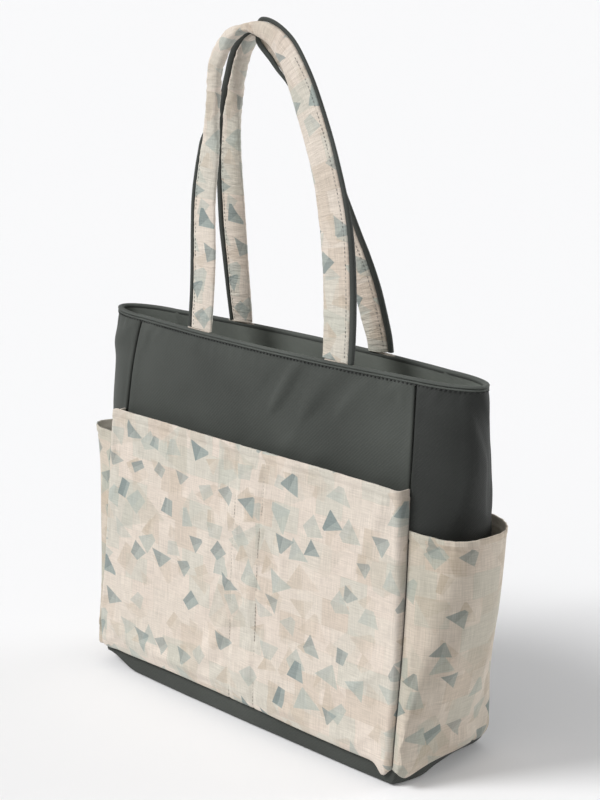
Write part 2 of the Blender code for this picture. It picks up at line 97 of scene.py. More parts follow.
# Along each strap, in millimetres: x and z of the border between sleeve and edging, x and z of
# the sleeve's inner edge, and the edging's width. Last, the share by which the edging is tucked
# against one face of the sleeve, or against the other below zero.
FRONT_STRAP = (
    (-98.2, 330.7, -71.6, 330.7, 4.2, 0),
    (-97.2, 362, -70.4, 362, 4.2, 0),
    (-97.8, 390, -70, 392, 4.2, 0),
    (-99, 418, -71.6, 419, 4.2, 0),
    (-99.2, 443, -73, 445, 4.2, 0),
    (-96.6, 466, -71.8, 468, 4, 0),
    (-92.6, 488, -70.8, 489, 3.8, 0),
    (-88.6, 510, -73, 512, 3.6, 0.45),
    (-87, 534, -73, 536, 3.6, 1),
    (-86.4, 552, -73.1, 557.4, 3.6, 1),
    (-82.6, 568, -66.4, 567, 3.6, 1),
    (-74.4, 581, -61.1, 575.2, 3.6, 1),
    (-62, 590.6, -53.3, 582.7, 3.6, 1),
    (-47, 594.6, -43.7, 588, 3.8, 0.9),
    (-35, 597.4, -34.9, 588.4, 3.8, 0.6),
    (-22, 598.4, -25, 585.4, 3.8, 0.15),
    (-8, 596, -15, 581.6, 3.6, 0),
    (6.2, 589.6, -5.6, 574.4, 3.4, 0),
    (19.2, 579.8, 3.8, 564.7, 3.4, 0),
    (32.8, 563.6, 11.8, 551, 3.4, 0),
    (44.5, 546, 19.2, 537, 3.4, 0),
    (56.3, 524, 29.2, 518, 3.6, 0),
    (67.8, 500.8, 40, 496, 3.8, 0),
    (77.5, 477.6, 49, 473, 4.2, 0),
    (84.9, 457.4, 54.6, 453, 4.6, 0),
    (90.8, 436.2, 59.4, 432, 5.2, 0),
    (94.6, 414, 63.4, 410, 5.6, 0),
    (97.2, 391, 66.2, 388, 5.8, 0),
    (98.8, 366, 68.2, 363, 5.8, 0),
    (99.2, 346, 69, 346, 5.8, 0),
    (98.8, 330.7, 68.8, 330.7, 5.6, 0),
)
REAR_STRAP = (
    (-98.2, 330.7, -73.6, 330.7, 4.6, 0),
    (-100.6, 358, -74.2, 360, 4.8, 0),
    (-102, 385, -74.8, 388, 5.4, 0),
    (-103.4, 412, -75, 415, 6, 0),
    (-103.6, 439, -75.2, 441, 5.8, 0),
    (-102.8, 462, -75.8, 464, 5.4, 0),
    (-100.2, 485, -76, 486, 5.2, 0),
    (-95.2, 511, -74.4, 512, 7.4, 0),
    (-86.4, 536, -69.8, 536, 8, 0),
    (-82.2, 546, -67.4, 546.4, 8, 0),
    (-77.5, 557.9, -62.8, 558.8, 7.6, 0),
    (-72.3, 567.5, -58.6, 567.6, 7.4, 0),
    (-66, 575, -55, 573.6, 7, 0),
    (-58.5, 581.6, -50.4, 579.4, 6.6, 0),
    (-50.5, 586.4, -46.4, 582.8, 5.8, 0),
    (-42, 588.2, -42.6, 583.8, 4.4, -0.3),
    (-34, 586, -38.4, 580.6, 4.6, -0.8),
    (-27.5, 581.4, -33.6, 576, 4.8, -1),
    (-16.5, 572.4, -23.4, 567, 4.6, -1),
    (-8.6, 563.2, -15, 558.2, 3.6, -1),
    (1.2, 553.4, -4.6, 549.2, 2.8, -1),
    (12.4, 541.5, 5.4, 536, 2.8, -0.9),
    (24, 518, 11.6, 509, 4, -0.4),
    (34.6, 493, 17.4, 483, 5, 0),
    (44.4, 468, 23.6, 457, 5, 0),
    (55.4, 445, 33.6, 436, 5, 0),
    (65.6, 424, 43, 416, 5.2, 0),
    (75.8, 404, 51.6, 397, 5.2, 0),
    (84.6, 382, 59.6, 377, 5.4, 0),
    (91.2, 359, 66.4, 355, 5.4, 0),
    (95, 343, 71.4, 342, 5.2, 0),
    (96.4, 330.7, 72.8, 330.7, 5, 0),
)


# Small helpers


def mix(low, high, share):
    return low + (high - low) * share


def eased(share):
    share = min(max(share, 0.0), 1.0)
    return share * share * (3.0 - 2.0 * share)


def steps(low, high, count):
    return [mix(low, high, i / count) for i in range(count + 1)]


def bell(distance, width):
    """1 where there is no distance, and fading smoothly to nothing either way."""
    return math.exp(-((distance / width) ** 2))


def measured(line):
    """Each place of a line, with how far along the line it lies."""
    run = 0.0
    before = line[0]
    found = []
    for p in line:
        run += (p - before).length
        before = p
        found.append((p, run))
    return found


def located(run, goal):
    """Which step of a run a distance falls in, and what share of that step is done by then."""
    j = 0
    while j < len(run) - 2 and run[j + 1] < goal:
        j += 1
    return j, (goal - run[j]) / max(run[j + 1] - run[j], 1e-9)


def hermite(before, start, end, after, share):
    """A smooth step between two rows of (at, value)."""
    span = end[0] - start[0]
    rise = (end[1] - before[1]) / (end[0] - before[0]) * span
    fall = (after[1] - start[1]) / (after[0] - start[0]) * span
    square = share * share
    cube = square * share
    return (
        start[1] * (2.0 * cube - 3.0 * square + 1.0)
        + rise * (cube - 2.0 * square + share)
        + end[1] * (3.0 * square - 2.0 * cube)
        + fall * (cube - square)
    )


def through(table, at):
    last = len(table) - 1
    i = 0
    while i < last - 1 and table[i + 1][0] < at:
        i += 1
    start, end = table[i], table[i + 1]
    share = (at - start[0]) / (end[0] - start[0])
    return hermite(table[max(i - 1, 0)], start, end, table[min(i + 2, last)], share)


def rounded(angle, roundness):
    power = 2.0 / roundness
    c, s = math.cos(angle), math.sin(angle)
    return math.copysign(abs(c) ** power, c), math.copysign(abs(s) ** power, s)


def rough(x, y, z=0.0):
    """Smooth noise from -1 to 1."""
    return noise.noise(Vector((x, y, z)))


def roll(distance, radius):
    """How far cloth turns in at this distance from its rolled edge."""
    if distance >= radius:
        return 0.0
    share = 1.0 - max(distance, 0.0) / radius
    return radius * (1.0 - math.sqrt(max(1.0 - share * share, 0.0)))


def crease(x, z, at, angle, length, width, height):
    """One soft fold: a ridge of that height along a line through a place."""
    c, s = math.cos(angle), math.sin(angle)
    dx, dz = x - at[0], z - at[1]
    along = dx * c + dz * s
    across = dz * c - dx * s
    return height * math.exp(-((along / length) ** 2) - (across / width) ** 2)


def folded(x, z, folds, fullness=0.0):
    """Several soft folds together, on a fullness that is the same everywhere."""
    return sum((crease(x, z, *fold) for fold in folds), fullness)


def kept(height, low, high):
    """A relief softly held between a depth and a height, clear of what is beside it."""
    limit = high if height > 0.0 else low
    return limit * math.tanh(height / limit) if limit > 1e-6 else 0.0


# The body's shape, as in the part


def seam_tuck(z):
    return 0.0040 * max(1.0 - (HEIGHT - z) / 0.060, 0.0) ** 2


def seam_x(z, inset=0.0):
    return mix(0.1875, 0.1740, z / HEIGHT) - seam_tuck(z) - inset * 0.6


def half_depth(z):
    return mix(0.0605, 0.0245, z / HEIGHT) - seam_tuck(z)


def bow(z):
    return mix(0.0625, 0.0305, z / HEIGHT) - half_depth(z)


def half_width(z):
    return mix(0.194, 0.225, through(WIDTHS, min(z / HEIGHT, 1.0)))


def gusset_round(z):
    return through(ROUNDS, min(z / HEIGHT, 1.0))


def panel_depth(x, z, inset=0.0):
    across = x / seam_x(z, inset)
    return half_depth(z) - inset + bow(z) * (1.0 - across * across)


def gusset_place(share, z, inset=0.0, margin=SEAM_MARGIN, out=0.0):
    seam = seam_x(z, inset) + margin
    reach = half_width(z) - inset - seam + out
    c, s = rounded(share * math.pi / 2, gusset_round(z))
    return Vector((seam + reach * abs(c), (half_depth(z) - inset) * s, z))


# By place from front to rear: how far the ends curl under at the floor
CURLS = (
    (-0.064, 0.0035), (-0.050, 0.0026), (-0.030, 0.0020), (-0.006, 0.0110),
    (0.014, 0.0160), (0.030, 0.0140), (0.046, 0.0110), (0.064, 0.0110),
)
# By height: how that fades upwards
CURL_FADE = (
    (0.0, 1.0), (0.004, 0.60), (0.008, 0.32), (0.012, 0.14), (0.0172, 0.03), (0.030, 0.0), (0.4, 0.0),
)
# By height: how far the rear corners are drawn in
DRAWN = (
    (0.0, 0.0068), (0.010, 0.0060), (0.0172, 0.0040), (0.027, 0.0030),
    (0.038, 0.0020), (0.062, 0.0004), (0.085, 0.0), (0.4, 0.0),
)


def facing(place, share):
    """The outward direction there of a line of places that runs from front to rear."""
    run = place(share + 0.01) - place(share - 0.01)
    return Vector((run.y, -run.x, 0.0)).normalized()


def slumped(p):
    """Both ends draw in at the floor. The left one stands out at its top, and its front corner lifts."""
    left = eased((-p.x - 0.12) / 0.06)
    out = left * (0.0030 * eased((p.z - 0.15) / 0.18) + 0.0026 * bell(p.z - 0.238, 0.040))
    far = abs(p.x)
    z = max(p.z, 0.0)
    curl = through(CURLS, min(max(p.y, -0.064), 0.064)) * through(CURL_FADE, z) * eased((far - 0.135) / 0.050)
    drawn = through(DRAWN, z) * eased((far - 0.130) / 0.062) * eased((p.y + 0.002) / 0.052)
    corner = 0.0105 * eased((-p.x - 0.146) / 0.041) * eased((0.030 - p.y) / 0.070)
    lifted = corner * max(1.0 - z / 0.0215, 0.0) ** 1.3
    return Vector((p.x - out - math.copysign(curl + 0.76 * drawn, p.x), p.y - 0.65 * drawn, p.z + lifted))


def body_ring(z, inset, panel_steps=90, gusset_steps=44):
    """The whole outline at one height, anticlockwise from the front left seam."""
    edge = seam_x(z, inset)
    half = [Vector((x, -panel_depth(x, z, inset), z)) for x in steps(-edge, edge, panel_steps)][:-1]
    half += [gusset_place(s, z, inset, 0.0) for s in steps(-1, 1, gusset_steps)][:-1]
    return half + [Vector((-p.x, -p.y, p.z)) for p in half]


# Materials


class Nodes:
    """A node tree, with short ways to add to it."""

    def __init__(self, tree):
        self.tree = tree

    def node(self, kind, **settings):
        made = self.tree.nodes.new(kind)
        for key, value in settings.items():
            setattr(made, key, value)
        return made

    def put(self, socket, value):
        if isinstance(value, bpy.types.NodeSocket):
            self.tree.links.new(value, socket)
        else:
            socket.default_value = value

    def math(self, operation, *values, clamp=False):
        made = self.node("ShaderNodeMath", operation=operation, use_clamp=clamp)
        for socket, value in zip(made.inputs, values):
            self.put(socket, value)
        return made.outputs[0]

    def plus(self, one, two):
        return self.math("ADD", one, two)

    def minus(self, one, two):
        return self.math("SUBTRACT", one, two)

    def times(self, one, two):
        return self.math("MULTIPLY", one, two)

    def fused(self, one, two, more):
        """One times two, plus more."""
        return self.math("MULTIPLY_ADD", one, two, more)

    def end(self, output, made):
        """Links the last shader to the tree's output node."""
        self.put(self.tree.nodes[output].inputs["Surface"], made.outputs[0])


class Finish(Nodes):
    """The material of a cloth, which has its own flat coordinates u and v in metres."""

    def __init__(self, name, roughness, sheen=0.0, specular=0.3):
        self.material = bpy.data.materials.new(name)
        self.material.use_nodes = True
        super().__init__(self.material.node_tree)
        self.shader = self.tree.nodes["Principled BSDF"]
        self.shader.inputs["Roughness"].default_value = roughness
        self.shader.inputs["Sheen Weight"].default_value = sheen
        self.shader.inputs["Sheen Roughness"].default_value = 0.5
        self.shader.inputs["Specular IOR Level"].default_value = specular
        cloth = self.node("ShaderNodeUVMap", uv_map="Cloth")
        parts = self.node("ShaderNodeSeparateXYZ")
        self.put(parts.inputs[0], cloth.outputs[0])
        self.u, self.v = parts.outputs[0], parts.outputs[1]

    def place(self, x, y, z=0.0):
        made = self.node("ShaderNodeCombineXYZ")
        for socket, value in zip(made.inputs, (x, y, z)):
            self.put(socket, value)
        return made.outputs[0]

    def scaled(self, across, up, shift=0.0):
        """The cloth's own coordinates, with this many units to the metre each way."""
        x = self.fused(self.u, across, shift)
        return self.place(x, self.fused(self.v, up, shift))

    def noise(self, at, detail=2.0, roughness=0.5):
        made = self.node("ShaderNodeTexNoise")
        self.put(made.inputs["Vector"], at)
        self.put(made.inputs["Scale"], 1.0)
        self.put(made.inputs["Detail"], detail)
        self.put(made.inputs["Roughness"], roughness)
        return made.outputs[0]

    def random(self, at):
        """Four random numbers for a cell."""
        made = self.node("ShaderNodeTexWhiteNoise", noise_dimensions="3D")
        self.put(made.inputs["Vector"], at)
        parts = self.node("ShaderNodeSeparateColor")
        self.put(parts.inputs[0], made.outputs["Color"])
        return (*parts.outputs, made.outputs["Value"])

    def mixed(self, share, low, high, kind="MIX"):
        made = self.node("ShaderNodeMix", data_type="RGBA", blend_type=kind)
        for index, value in ((0, share), (6, low), (7, high)):
            if isinstance(value, tuple):
                value = (*value, 1.0)
            self.put(made.inputs[index], value)
        return made.outputs[2]

    def shaded(self, share, colour, dark, light):
        """Between a darker and a lighter shade of one colour."""
        return self.mixed(share, tuple(c * dark for c in colour), tuple(c * light for c in colour))

    def soft(self, value, softness):
        """0 below zero and 1 above it, with a soft edge."""
        return self.math("DIVIDE", value, softness, clamp=True)

    def centred(self, value):
        """A place within its own cell, from -0.5 to 0.5."""
        return self.minus(self.math("FRACT", value), 0.5)

    def around(self, value, change, middle):
        """Noise about a half, scaled and set about another number or value."""
        return self.fused(self.minus(value, 0.5), change, middle)

    def mean(self, one, two):
        return self.plus(self.times(one, 0.5), self.times(two, 0.5))

    def done(self, colour, height, distance, strength=1.0):
        self.put(self.shader.inputs["Base Color"], colour)
        bump = self.node("ShaderNodeBump")
        self.put(bump.inputs["Height"], height)
        self.put(bump.inputs["Distance"], distance)
        self.put(bump.inputs["Strength"], strength)
        self.put(self.shader.inputs["Normal"], bump.outputs[0])
        return self.material


def nylon(name, colour, pitch=0.0017, roughness=0.60):
    """A dark twill: fine diagonal ribs, a slight slub and broad patches, paler and darker at random."""
    f = Finish(name, roughness, sheen=0.02, specular=0.16)
    turn = math.tau / pitch
    one = f.math("SINE", f.times(f.plus(f.u, f.v), turn))
    two = f.math("SINE", f.times(f.minus(f.u, f.v), turn * 0.5))
    ribs = f.fused(two, 0.35, one)
    slub = f.noise(f.scaled(260.0, 900.0), 3.0)
    broad = f.noise(f.scaled(9.0, 11.0), 2.0)
    shade = f.fused(ribs, 0.16, 0.5)
    shade = f.around(slub, 0.40, shade)
    shade = f.around(broad, 1.9, shade)
    return f.done(f.shaded(shade, colour, 0.72, 1.28), f.fused(slub, 0.5, ribs), 0.00010, 0.8)


CREAM = (0.742, 0.672, 0.590)
BLUSH = (0.760, 0.655, 0.575)
SAGE = (0.520, 0.545, 0.480)
TAN = (0.560, 0.470, 0.370)
SLATE = (0.215, 0.268, 0.268)
MIST = (0.430, 0.478, 0.448)


def patches(f, size, seed):
    """Offset bricks: their random numbers, and how near a place is to a brick's edge."""
    x = f.math("DIVIDE", f.u, size[0])
    y = f.plus(f.math("DIVIDE", f.v, size[1]), seed)
    row = f.math("FLOOR", y)
    x = f.fused(row, 0.37, x)
    numbers = f.random(f.place(f.math("FLOOR", x), row, seed))
    near_x = f.math("ABSOLUTE", f.centred(x))
    near_y = f.math("ABSOLUTE", f.centred(y))
    return numbers, f.math("MAXIMUM", near_x, near_y)


def motifs(f, size, seed, many):
    """Turned, tapered scraps in two tones, one to an offset cell at most.

    many is the share of the cells that have one.
    """
    x = f.math("DIVIDE", f.u, size)
    y = f.plus(f.math("DIVIDE", f.v, size * 0.86), seed)
    row = f.math("FLOOR", y)
    x = f.fused(row, 0.41, f.plus(x, seed))
    cell = f.place(f.math("FLOOR", x), row, seed)
    red, green, blue, pick = f.random(cell)
    one, two, three, _ = f.random(f.place(f.math("FLOOR", x), row, seed + 0.5))
    x = f.plus(f.centred(x), f.fused(one, 0.24, -0.12))
    y = f.plus(f.centred(y), f.fused(two, 0.20, -0.10))
    angle = f.fused(red, 2.2, -1.1)
    c, s = f.math("COSINE", angle), f.math("SINE", angle)
    across = f.fused(x, c, f.times(y, s))
    up = f.minus(f.times(y, c), f.times(x, s))
    taper = f.fused(three, 1.9, -0.95)
    wide = f.fused(up, taper, f.fused(blue, 0.13, 0.15))
    high = f.fused(green, 0.13, 0.19)
    edge = 0.016
    inside_x = f.soft(f.minus(wide, f.math("ABSOLUTE", across)), edge)
    inside_y = f.soft(f.minus(high, f.math("ABSOLUTE", up)), edge)
    cover = f.times(f.times(inside_x, inside_y), f.math("LESS_THAN", pick, many))
    half = f.soft(f.plus(across, f.fused(two, 0.16, -0.08)), 0.02)
    return cover, green, blue, half


def printed(name, tints, gathers=0.0):
    """A linen-like canvas with a plain geometric print of the builder's own."""
    f = Finish(name, 0.86, sheen=0.15, specular=0.18)
    (red, _, _, pick), near = patches(f, (0.030, 0.023), 3.0)
    colour = f.mixed(f.times(red, 0.75), CREAM, BLUSH)
    for chosen, limit, strength, tone in (("LESS_THAN", 0.26, 0.34, SAGE), ("GREATER_THAN", 0.86, 0.38, TAN)):
        cover = f.times(f.math(chosen, pick, limit), strength)
        colour = f.mixed(cover, colour, tone)
    line = f.soft(f.minus(near, 0.487), 0.010)
    colour = f.mixed(f.times(line, 0.26), colour, TAN)
    for size, seed, many, low, high, strength in (
        (0.078, 29.0, 0.82, SAGE, TAN, 0.40),
        (0.050, 53.0, 0.80, TAN, BLUSH, 0.50),
        (0.031, 17.0, 0.58, TAN, CREAM, 0.58),
        (0.035, 41.0, 0.62, MIST, SAGE, 0.66),
        (0.031, 7.0, 0.45, SLATE, MIST, 0.82),
    ):
        cover, green, blue, half = motifs(f, size, seed, many)
        tone = f.mixed(f.fused(half, 0.45, f.times(blue, 0.25)), low, high)
        cover = f.times(cover, f.fused(green, 0.35, strength - 0.22))
        colour = f.mixed(cover, colour, tone)
    across = f.noise(f.scaled(60.0, 1150.0), 3.0, 0.6)
    up = f.noise(f.scaled(1150.0, 50.0, 5.0), 3.0, 0.6)
    cloud = f.noise(f.scaled(40.0, 34.0, 9.0), 3.0)
    linen = f.mean(across, up)
    shade = f.around(cloud, 0.16, f.around(linen, 0.95, 0.92))
    grey = f.node("ShaderNodeCombineColor")
    for socket, tint in zip(grey.inputs, tints):
        f.put(socket, f.times(shade, tint))
    colour = f.mixed(1.0, colour, grey.outputs[0], "MULTIPLY")
    turn = math.tau / 0.0011
    threads = [f.math("SINE", f.times(way, turn)) for way in (f.u, f.v)]
    weave = f.times(*threads)
    height = f.fused(linen, 2.2, f.times(weave, 0.5))
    if gathers:
        pleats = f.noise(f.scaled(75.0, 430.0, 2.0), 3.0, 0.55)
        height = f.fused(pleats, gathers, height)
    return f.done(colour, height, 0.00010, 0.7)


def plain_cloth(name, colour):
    f = Finish(name, 0.85, sheen=0.1, specular=0.2)
    weave = f.mean(f.noise(f.scaled(200.0, 2100.0)), f.noise(f.scaled(2100.0, 200.0, 3.0)))
    return f.done(f.shaded(weave, colour, 0.7, 1.3), weave, 0.00012, 0.7)


def thread(name, colour):
    f = Finish(name, 0.7, sheen=0.1, specular=0.3)
    twist = f.math("SINE", f.times(f.plus(f.u, f.v), math.tau / 0.0005))
    share = f.fused(twist, 0.25, 0.5)
    return f.done(f.shaded(share, colour, 0.7, 1.2), twist, 0.00005, 0.6)


def board_finish():
    f = Finish("board_grain", 0.75, specular=0.25)
    grain = f.node("ShaderNodeTexNoise")
    f.put(grain.inputs["Vector"], f.node("ShaderNodeTexCoord").outputs["Object"])
    f.put(grain.inputs["Scale"], 900.0)
    base = f.mixed(grain.outputs[0], (0.08, 0.08, 0.08), (0.14, 0.14, 0.14))
    return f.done(base, grain.outputs[0], 0.0002, 0.5)


NYLON = nylon("nylon_twill", (0.055, 0.060, 0.054))
# A darker copy of the nylon for the right gusset only: painted shade for the light that falls off at that end
SHADED_GUSSET_NYLON = nylon("gusset_twill_painted_shade", (0.028, 0.030, 0.028))
EDGING = nylon("edging_twill", (0.052, 0.057, 0.052), pitch=0.0012)
RIM = nylon("rim_twill", (0.078, 0.085, 0.077), pitch=0.0012)
LINING = nylon("lining_twill", (0.192, 0.208, 0.187), pitch=0.0013, roughness=0.7)
PRINT = printed("printed_canvas", (0.935, 0.935, 0.928))
STRAP_PRINT = printed("printed_canvas_gathered", (0.925, 0.925, 0.915), 14.0)
# The side pockets' print is tinted darker than the front pocket's, as painted shade on the bag's sides, and
# also warmer
SHADED_SIDE_PRINT = printed("printed_canvas_side_painted_shade", (0.795, 0.787, 0.749))
INSIDE = plain_cloth("canvas_inside", (0.66, 0.61, 0.52))
DARK_THREAD = thread("dark_thread", (0.013, 0.014, 0.013))
PALE_THREAD = thread("pale_thread", (0.40, 0.37, 0.32))
SEAM_THREAD = thread("seam_thread", (0.20, 0.20, 0.19))


# Making pieces


# How finely the cloth is divided, across and up
PANEL_GRID = (150, 120)
GUSSET_GRID = (72, 120)
POCKET_GRID = (190, 120)
SIDE_GRID = (110, 110)
# Edges between faces that meet at less than this look smooth
SMOOTH_BELOW = math.radians(62.0)
THREAD_SIDES = 6
def linked(name, data):
    """A new object in the scene."""
    thing = bpy.data.objects.new(name, data)
    bpy.context.scene.collection.objects.link(thing)
    return thing


def cloth_mesh(name, points, faces, cloth):
    """A mesh and its layer of flat cloth coordinates, given for each point."""
    mesh = bpy.data.meshes.new(name)
    mesh.from_pydata(points, [], faces)
    layer = mesh.uv_layers.new(name="Cloth")
    for loop in mesh.loops:
        layer.data[loop.index].uv = cloth[loop.vertex_index]
    mesh.shade_smooth()
    return mesh, layer


def hang(thing, body):
    """Pieces of the bag ride on its body. A strap's pieces stay where they are, with their transform baked
    in.
    """
    if body == BODY:
        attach(thing, body)
    else:
        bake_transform(thing)


def piece(name, rows, finishes, slot, replaced=(), closed=False, caps=False, body=BODY):
    """A mesh between rows of (place, (u, v)), which rides on a body."""
    count = len(rows[0])
    settle = slumped if body == BODY else Vector
    points = [tuple(settle(p)) for row in rows for p, _ in row]
    cloth = [uv for row in rows for _, uv in row]
    faces = []
    for i in range(len(rows) - 1):
        for j in range(count if closed else count - 1):
            k = (j + 1) % count
            faces.append((i * count + j, i * count + k, (i + 1) * count + k, (i + 1) * count + j))
    if caps:
        faces.append(tuple(reversed(range(count))))
        faces.append(tuple(range(len(points) - count, len(points))))
    mesh, layer = cloth_mesh(name, points, faces, cloth)
    if closed:
        mend_wrap(mesh, layer)
    mesh.set_sharp_from_angle(angle=SMOOTH_BELOW)
    for finish in finishes:
        mesh.materials.append(finish)
    thing = linked(name, mesh)
    hang(thing, body)
    if replaced:
        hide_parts(*replaced)
    return thing


def mend_wrap(mesh, layer):
    """Where a closed row comes round to its start, its last faces go on instead of back."""
    for face in mesh.polygons:
        if len(face.vertices) > 4:
            continue
        ahead = max(layer.data[i].uv[0] for i in face.loop_indices)
        for i in face.loop_indices:
            if layer.data[i].uv[0] < ahead - 0.02:
                layer.data[i].uv[0] = ahead + 0.002


def thicken(thing, thickness, inner=0, even=True):
    """Gives a sheet its thickness inwards. inner shifts the material of its inner side."""
    solid = thing.modifiers.new("Cloth", "SOLIDIFY")
    solid.thickness = thickness
    solid.offset = -1.0
    solid.use_even_offset = even
    solid.material_offset = inner


def cut_flat(rows):
    """Measures the widest row of this cloth as it is stretched over the bag; the width is not kept."""
    wide = max(measured([p for p, _ in row])[-1][1] for row in rows)


def graded(count, finer=0.5):
    """Places from 0 to 1 that lie closer together at both ends."""
    return [mix(t, 0.5 - 0.5 * math.cos(math.pi * t), finer) for t in steps(0.0, 1.0, count)]


def spread(grid, s, t):
    """Smoothly read a grid of vectors, its rows going up with t."""
    rows, columns = len(grid) - 1, len(grid[0]) - 1

    def weights(share):
        square, cube = share * share, share * share * share
        return (
            -0.5 * share + square - 0.5 * cube,
            1.0 - 2.5 * square + 1.5 * cube,
            0.5 * share + 2.0 * square - 1.5 * cube,
            -0.5 * square + 0.5 * cube,
        )

    i = min(int(t * rows), rows - 1)
    j = min(int(s * columns), columns - 1)
    down = weights(t * rows - i)
    side = weights(s * columns - j)
    total = Vector((0.0, 0.0, 0.0))
    for a, wa in enumerate(down):
        row = grid[min(max(i + a - 1, 0), rows)]
        for b, wb in enumerate(side):
            total += row[min(max(j + b - 1, 0), columns)] * (wa * wb)
    return total


def settled(surface, columns, rows, held, pressure, cap, spare):
    """Lets cloth settle on a coarse copy of a surface, and says how far each place moves.

    held gives 0 where the cloth is free and 1 where it is sewn down. The cloth is cut
    larger than the surface by the share spare, so that it slackens and sags. No place
    moves further than cap.
    """
    frames = 22
    ups, acrosses = steps(0.0, 1.0, rows), steps(0.0, 1.0, columns)
    places = [[surface(s, t) for s in acrosses] for t in ups]
    points = [tuple(p) for row in places for p in row]
    count = columns + 1
    faces = [
        (i * count + j, i * count + j + 1, (i + 1) * count + j + 1, (i + 1) * count + j)
        for i in range(rows)
        for j in range(columns)
    ]
    mesh = bpy.data.meshes.new("settling")
    mesh.from_pydata(points, [], faces)
    thing = linked("settling", mesh)
    group = thing.vertex_groups.new(name="Held")
    for i, t in enumerate(ups):
        for j, s in enumerate(acrosses):
            hold = held(s, t)
            if hold > 0.0:
                group.add([i * count + j], hold, "REPLACE")
    cloth = thing.modifiers.new("Cloth", "CLOTH")
    settings = cloth.settings
    settings.vertex_group_mass = "Held"
    settings.quality = 7
    settings.mass = 0.25
    settings.tension_stiffness = 18.0
    settings.compression_stiffness = 18.0
    settings.shear_stiffness = 7.0
    settings.bending_stiffness = 1.2
    settings.air_damping = 3.0
    settings.shrink_min = -spare
    settings.effector_weights.gravity = 0.3
    if pressure:
        settings.use_pressure = True
        settings.uniform_pressure_force = pressure
    cloth.point_cache.frame_start = 1
    cloth.point_cache.frame_end = frames
    scene = bpy.context.scene
    for at in range(1, frames + 1):
        scene.frame_set(at)
    made = thing.evaluated_get(bpy.context.evaluated_depsgraph_get()).to_mesh()
    moved = []
    for i in range(rows + 1):
        row = []
        for j in range(count):
            shift = made.vertices[i * count + j].co - places[i][j]
            far = shift.length
            if far > 0.0:
                shift *= cap * math.tanh(far / cap) / far
            row.append(shift)
        moved.append(row)
    bpy.data.objects.remove(thing, do_unlink=True)
    bpy.data.meshes.remove(mesh)
    scene.frame_set(1)
    return moved


def stitches(name, path, finish, length=0.0021, gap=0.0011, width=0.00055, body=BODY):
    """Small rounded threads along a path of (place, outward direction)."""
    points = []
    faces = []
    cloth = []
    if body == BODY:
        path = [(slumped(place), out) for place, out in path]
    run = [0.0]
    for (one, _), (two, _) in zip(path, path[1:]):
        run.append(run[-1] + (two - one).length)

    def at(goal):
        j, share = located(run, goal)
        return path[j][0].lerp(path[j + 1][0], share), path[j][1].lerp(path[j + 1][1], share).normalized()

    start = 0.0
    while start + length < run[-1]:
        one, out = at(start)
        two, _ = at(start + length)
        along = (two - one).normalized()
        side = out.cross(along).normalized()
        first = len(points)
        for share, size in ((0.0, 0.3), (0.2, 0.9), (0.8, 0.9), (1.0, 0.3)):
            middle = one.lerp(two, share)
            for angle in steps(0.0, math.tau, THREAD_SIDES)[:-1]:
                c, s = math.cos(angle) * size * width, math.sin(angle) * size * width
                points.append(tuple(middle + side * c + out * (s * 0.75)))
                cloth.append((start + share * length, angle * width))
        for low in range(first, first + 3 * THREAD_SIDES, THREAD_SIDES):
            for j in range(THREAD_SIDES):
                k = (j + 1) % THREAD_SIDES
                faces.append((low + j, low + k, low + THREAD_SIDES + k, low + THREAD_SIDES + j))
        faces.append(tuple(first + j for j in reversed(range(THREAD_SIDES))))
        faces.append(tuple(first + 3 * THREAD_SIDES + j for j in range(THREAD_SIDES)))
        start += length + gap
    mesh, _ = cloth_mesh(name, points, faces, cloth)
    mesh.materials.append(finish)
    thing = linked(name, mesh)
    hang(thing, body)
    return thing


# Shell


def mirrored(p, side):
    """A place on the front, turned half round to the rear."""
    return Vector((-p.x, -p.y, p.z)) if side == REAR else p


def paired(rows, side):
    """Rows of the right piece, or the same seen in a mirror for the left one."""
    if side == RIGHT:
        return rows
    return [[(Vector((-p.x, p.y, p.z)), uv) for p, uv in reversed(row)] for row in rows]


SHELL_FOOT = BAND + PLAY
SHELL_TOP = HEIGHT - 0.0022


def panel_surface(s, t):
    z = mix(SHELL_FOOT, SHELL_TOP, t)
    edge = seam_x(z) - SEAM_MARGIN
    x = mix(-edge, edge, s)
    return Vector((x, -panel_depth(x, z), z))


def gusset_surface(s, t):
    return gusset_place(mix(-1, 1, s), mix(SHELL_FOOT, SHELL_TOP, t))


def held_at_edges(s, t):
    near = min(s, 1.0 - s, 1.0 - t)
    return 1.0 if near < 0.02 or t < 0.03 else 0.0


# Soft folds: a place, the angle, the length, the width and the height of each
PANEL_FOLDS = {
    FRONT: (
        ((0.012, 0.294), 0.98, 0.038, 0.0058, -0.0019),
        ((0.027, 0.294), 1.02, 0.034, 0.0056, 0.0015),
        ((0.047, 0.300), 1.13, 0.028, 0.0056, -0.0018),
        ((0.062, 0.290), 1.00, 0.036, 0.0070, 0.0011),
        ((0.080, 0.282), 0.95, 0.040, 0.0080, -0.0016),
        ((0.095, 0.292), 0.80, 0.034, 0.0080, 0.0009),
        ((0.128, 0.262), 0.70, 0.060, 0.0150, -0.0014),
        ((-0.080, 0.292), -0.50, 0.050, 0.0120, -0.0010),
        ((-0.020, 0.266), 0.10, 0.120, 0.0140, -0.0014),
    ),
    REAR: (
        ((-0.050, 0.270), 1.00, 0.060, 0.0110, -0.0011),
        ((0.045, 0.255), -0.90, 0.060, 0.0120, -0.0011),
        ((0.000, 0.170), 0.20, 0.120, 0.0200, -0.0012),
        ((0.070, 0.110), 0.60, 0.060, 0.0140, 0.0009),
        ((-0.075, 0.215), 1.30, 0.070, 0.0120, 0.0012),
        ((0.105, 0.240), 1.80, 0.055, 0.0110, 0.0011),
        ((-0.120, 0.120), 0.90, 0.060, 0.0130, 0.0010),
        ((0.020, 0.060), -0.30, 0.090, 0.0120, 0.0010),
    ),
}
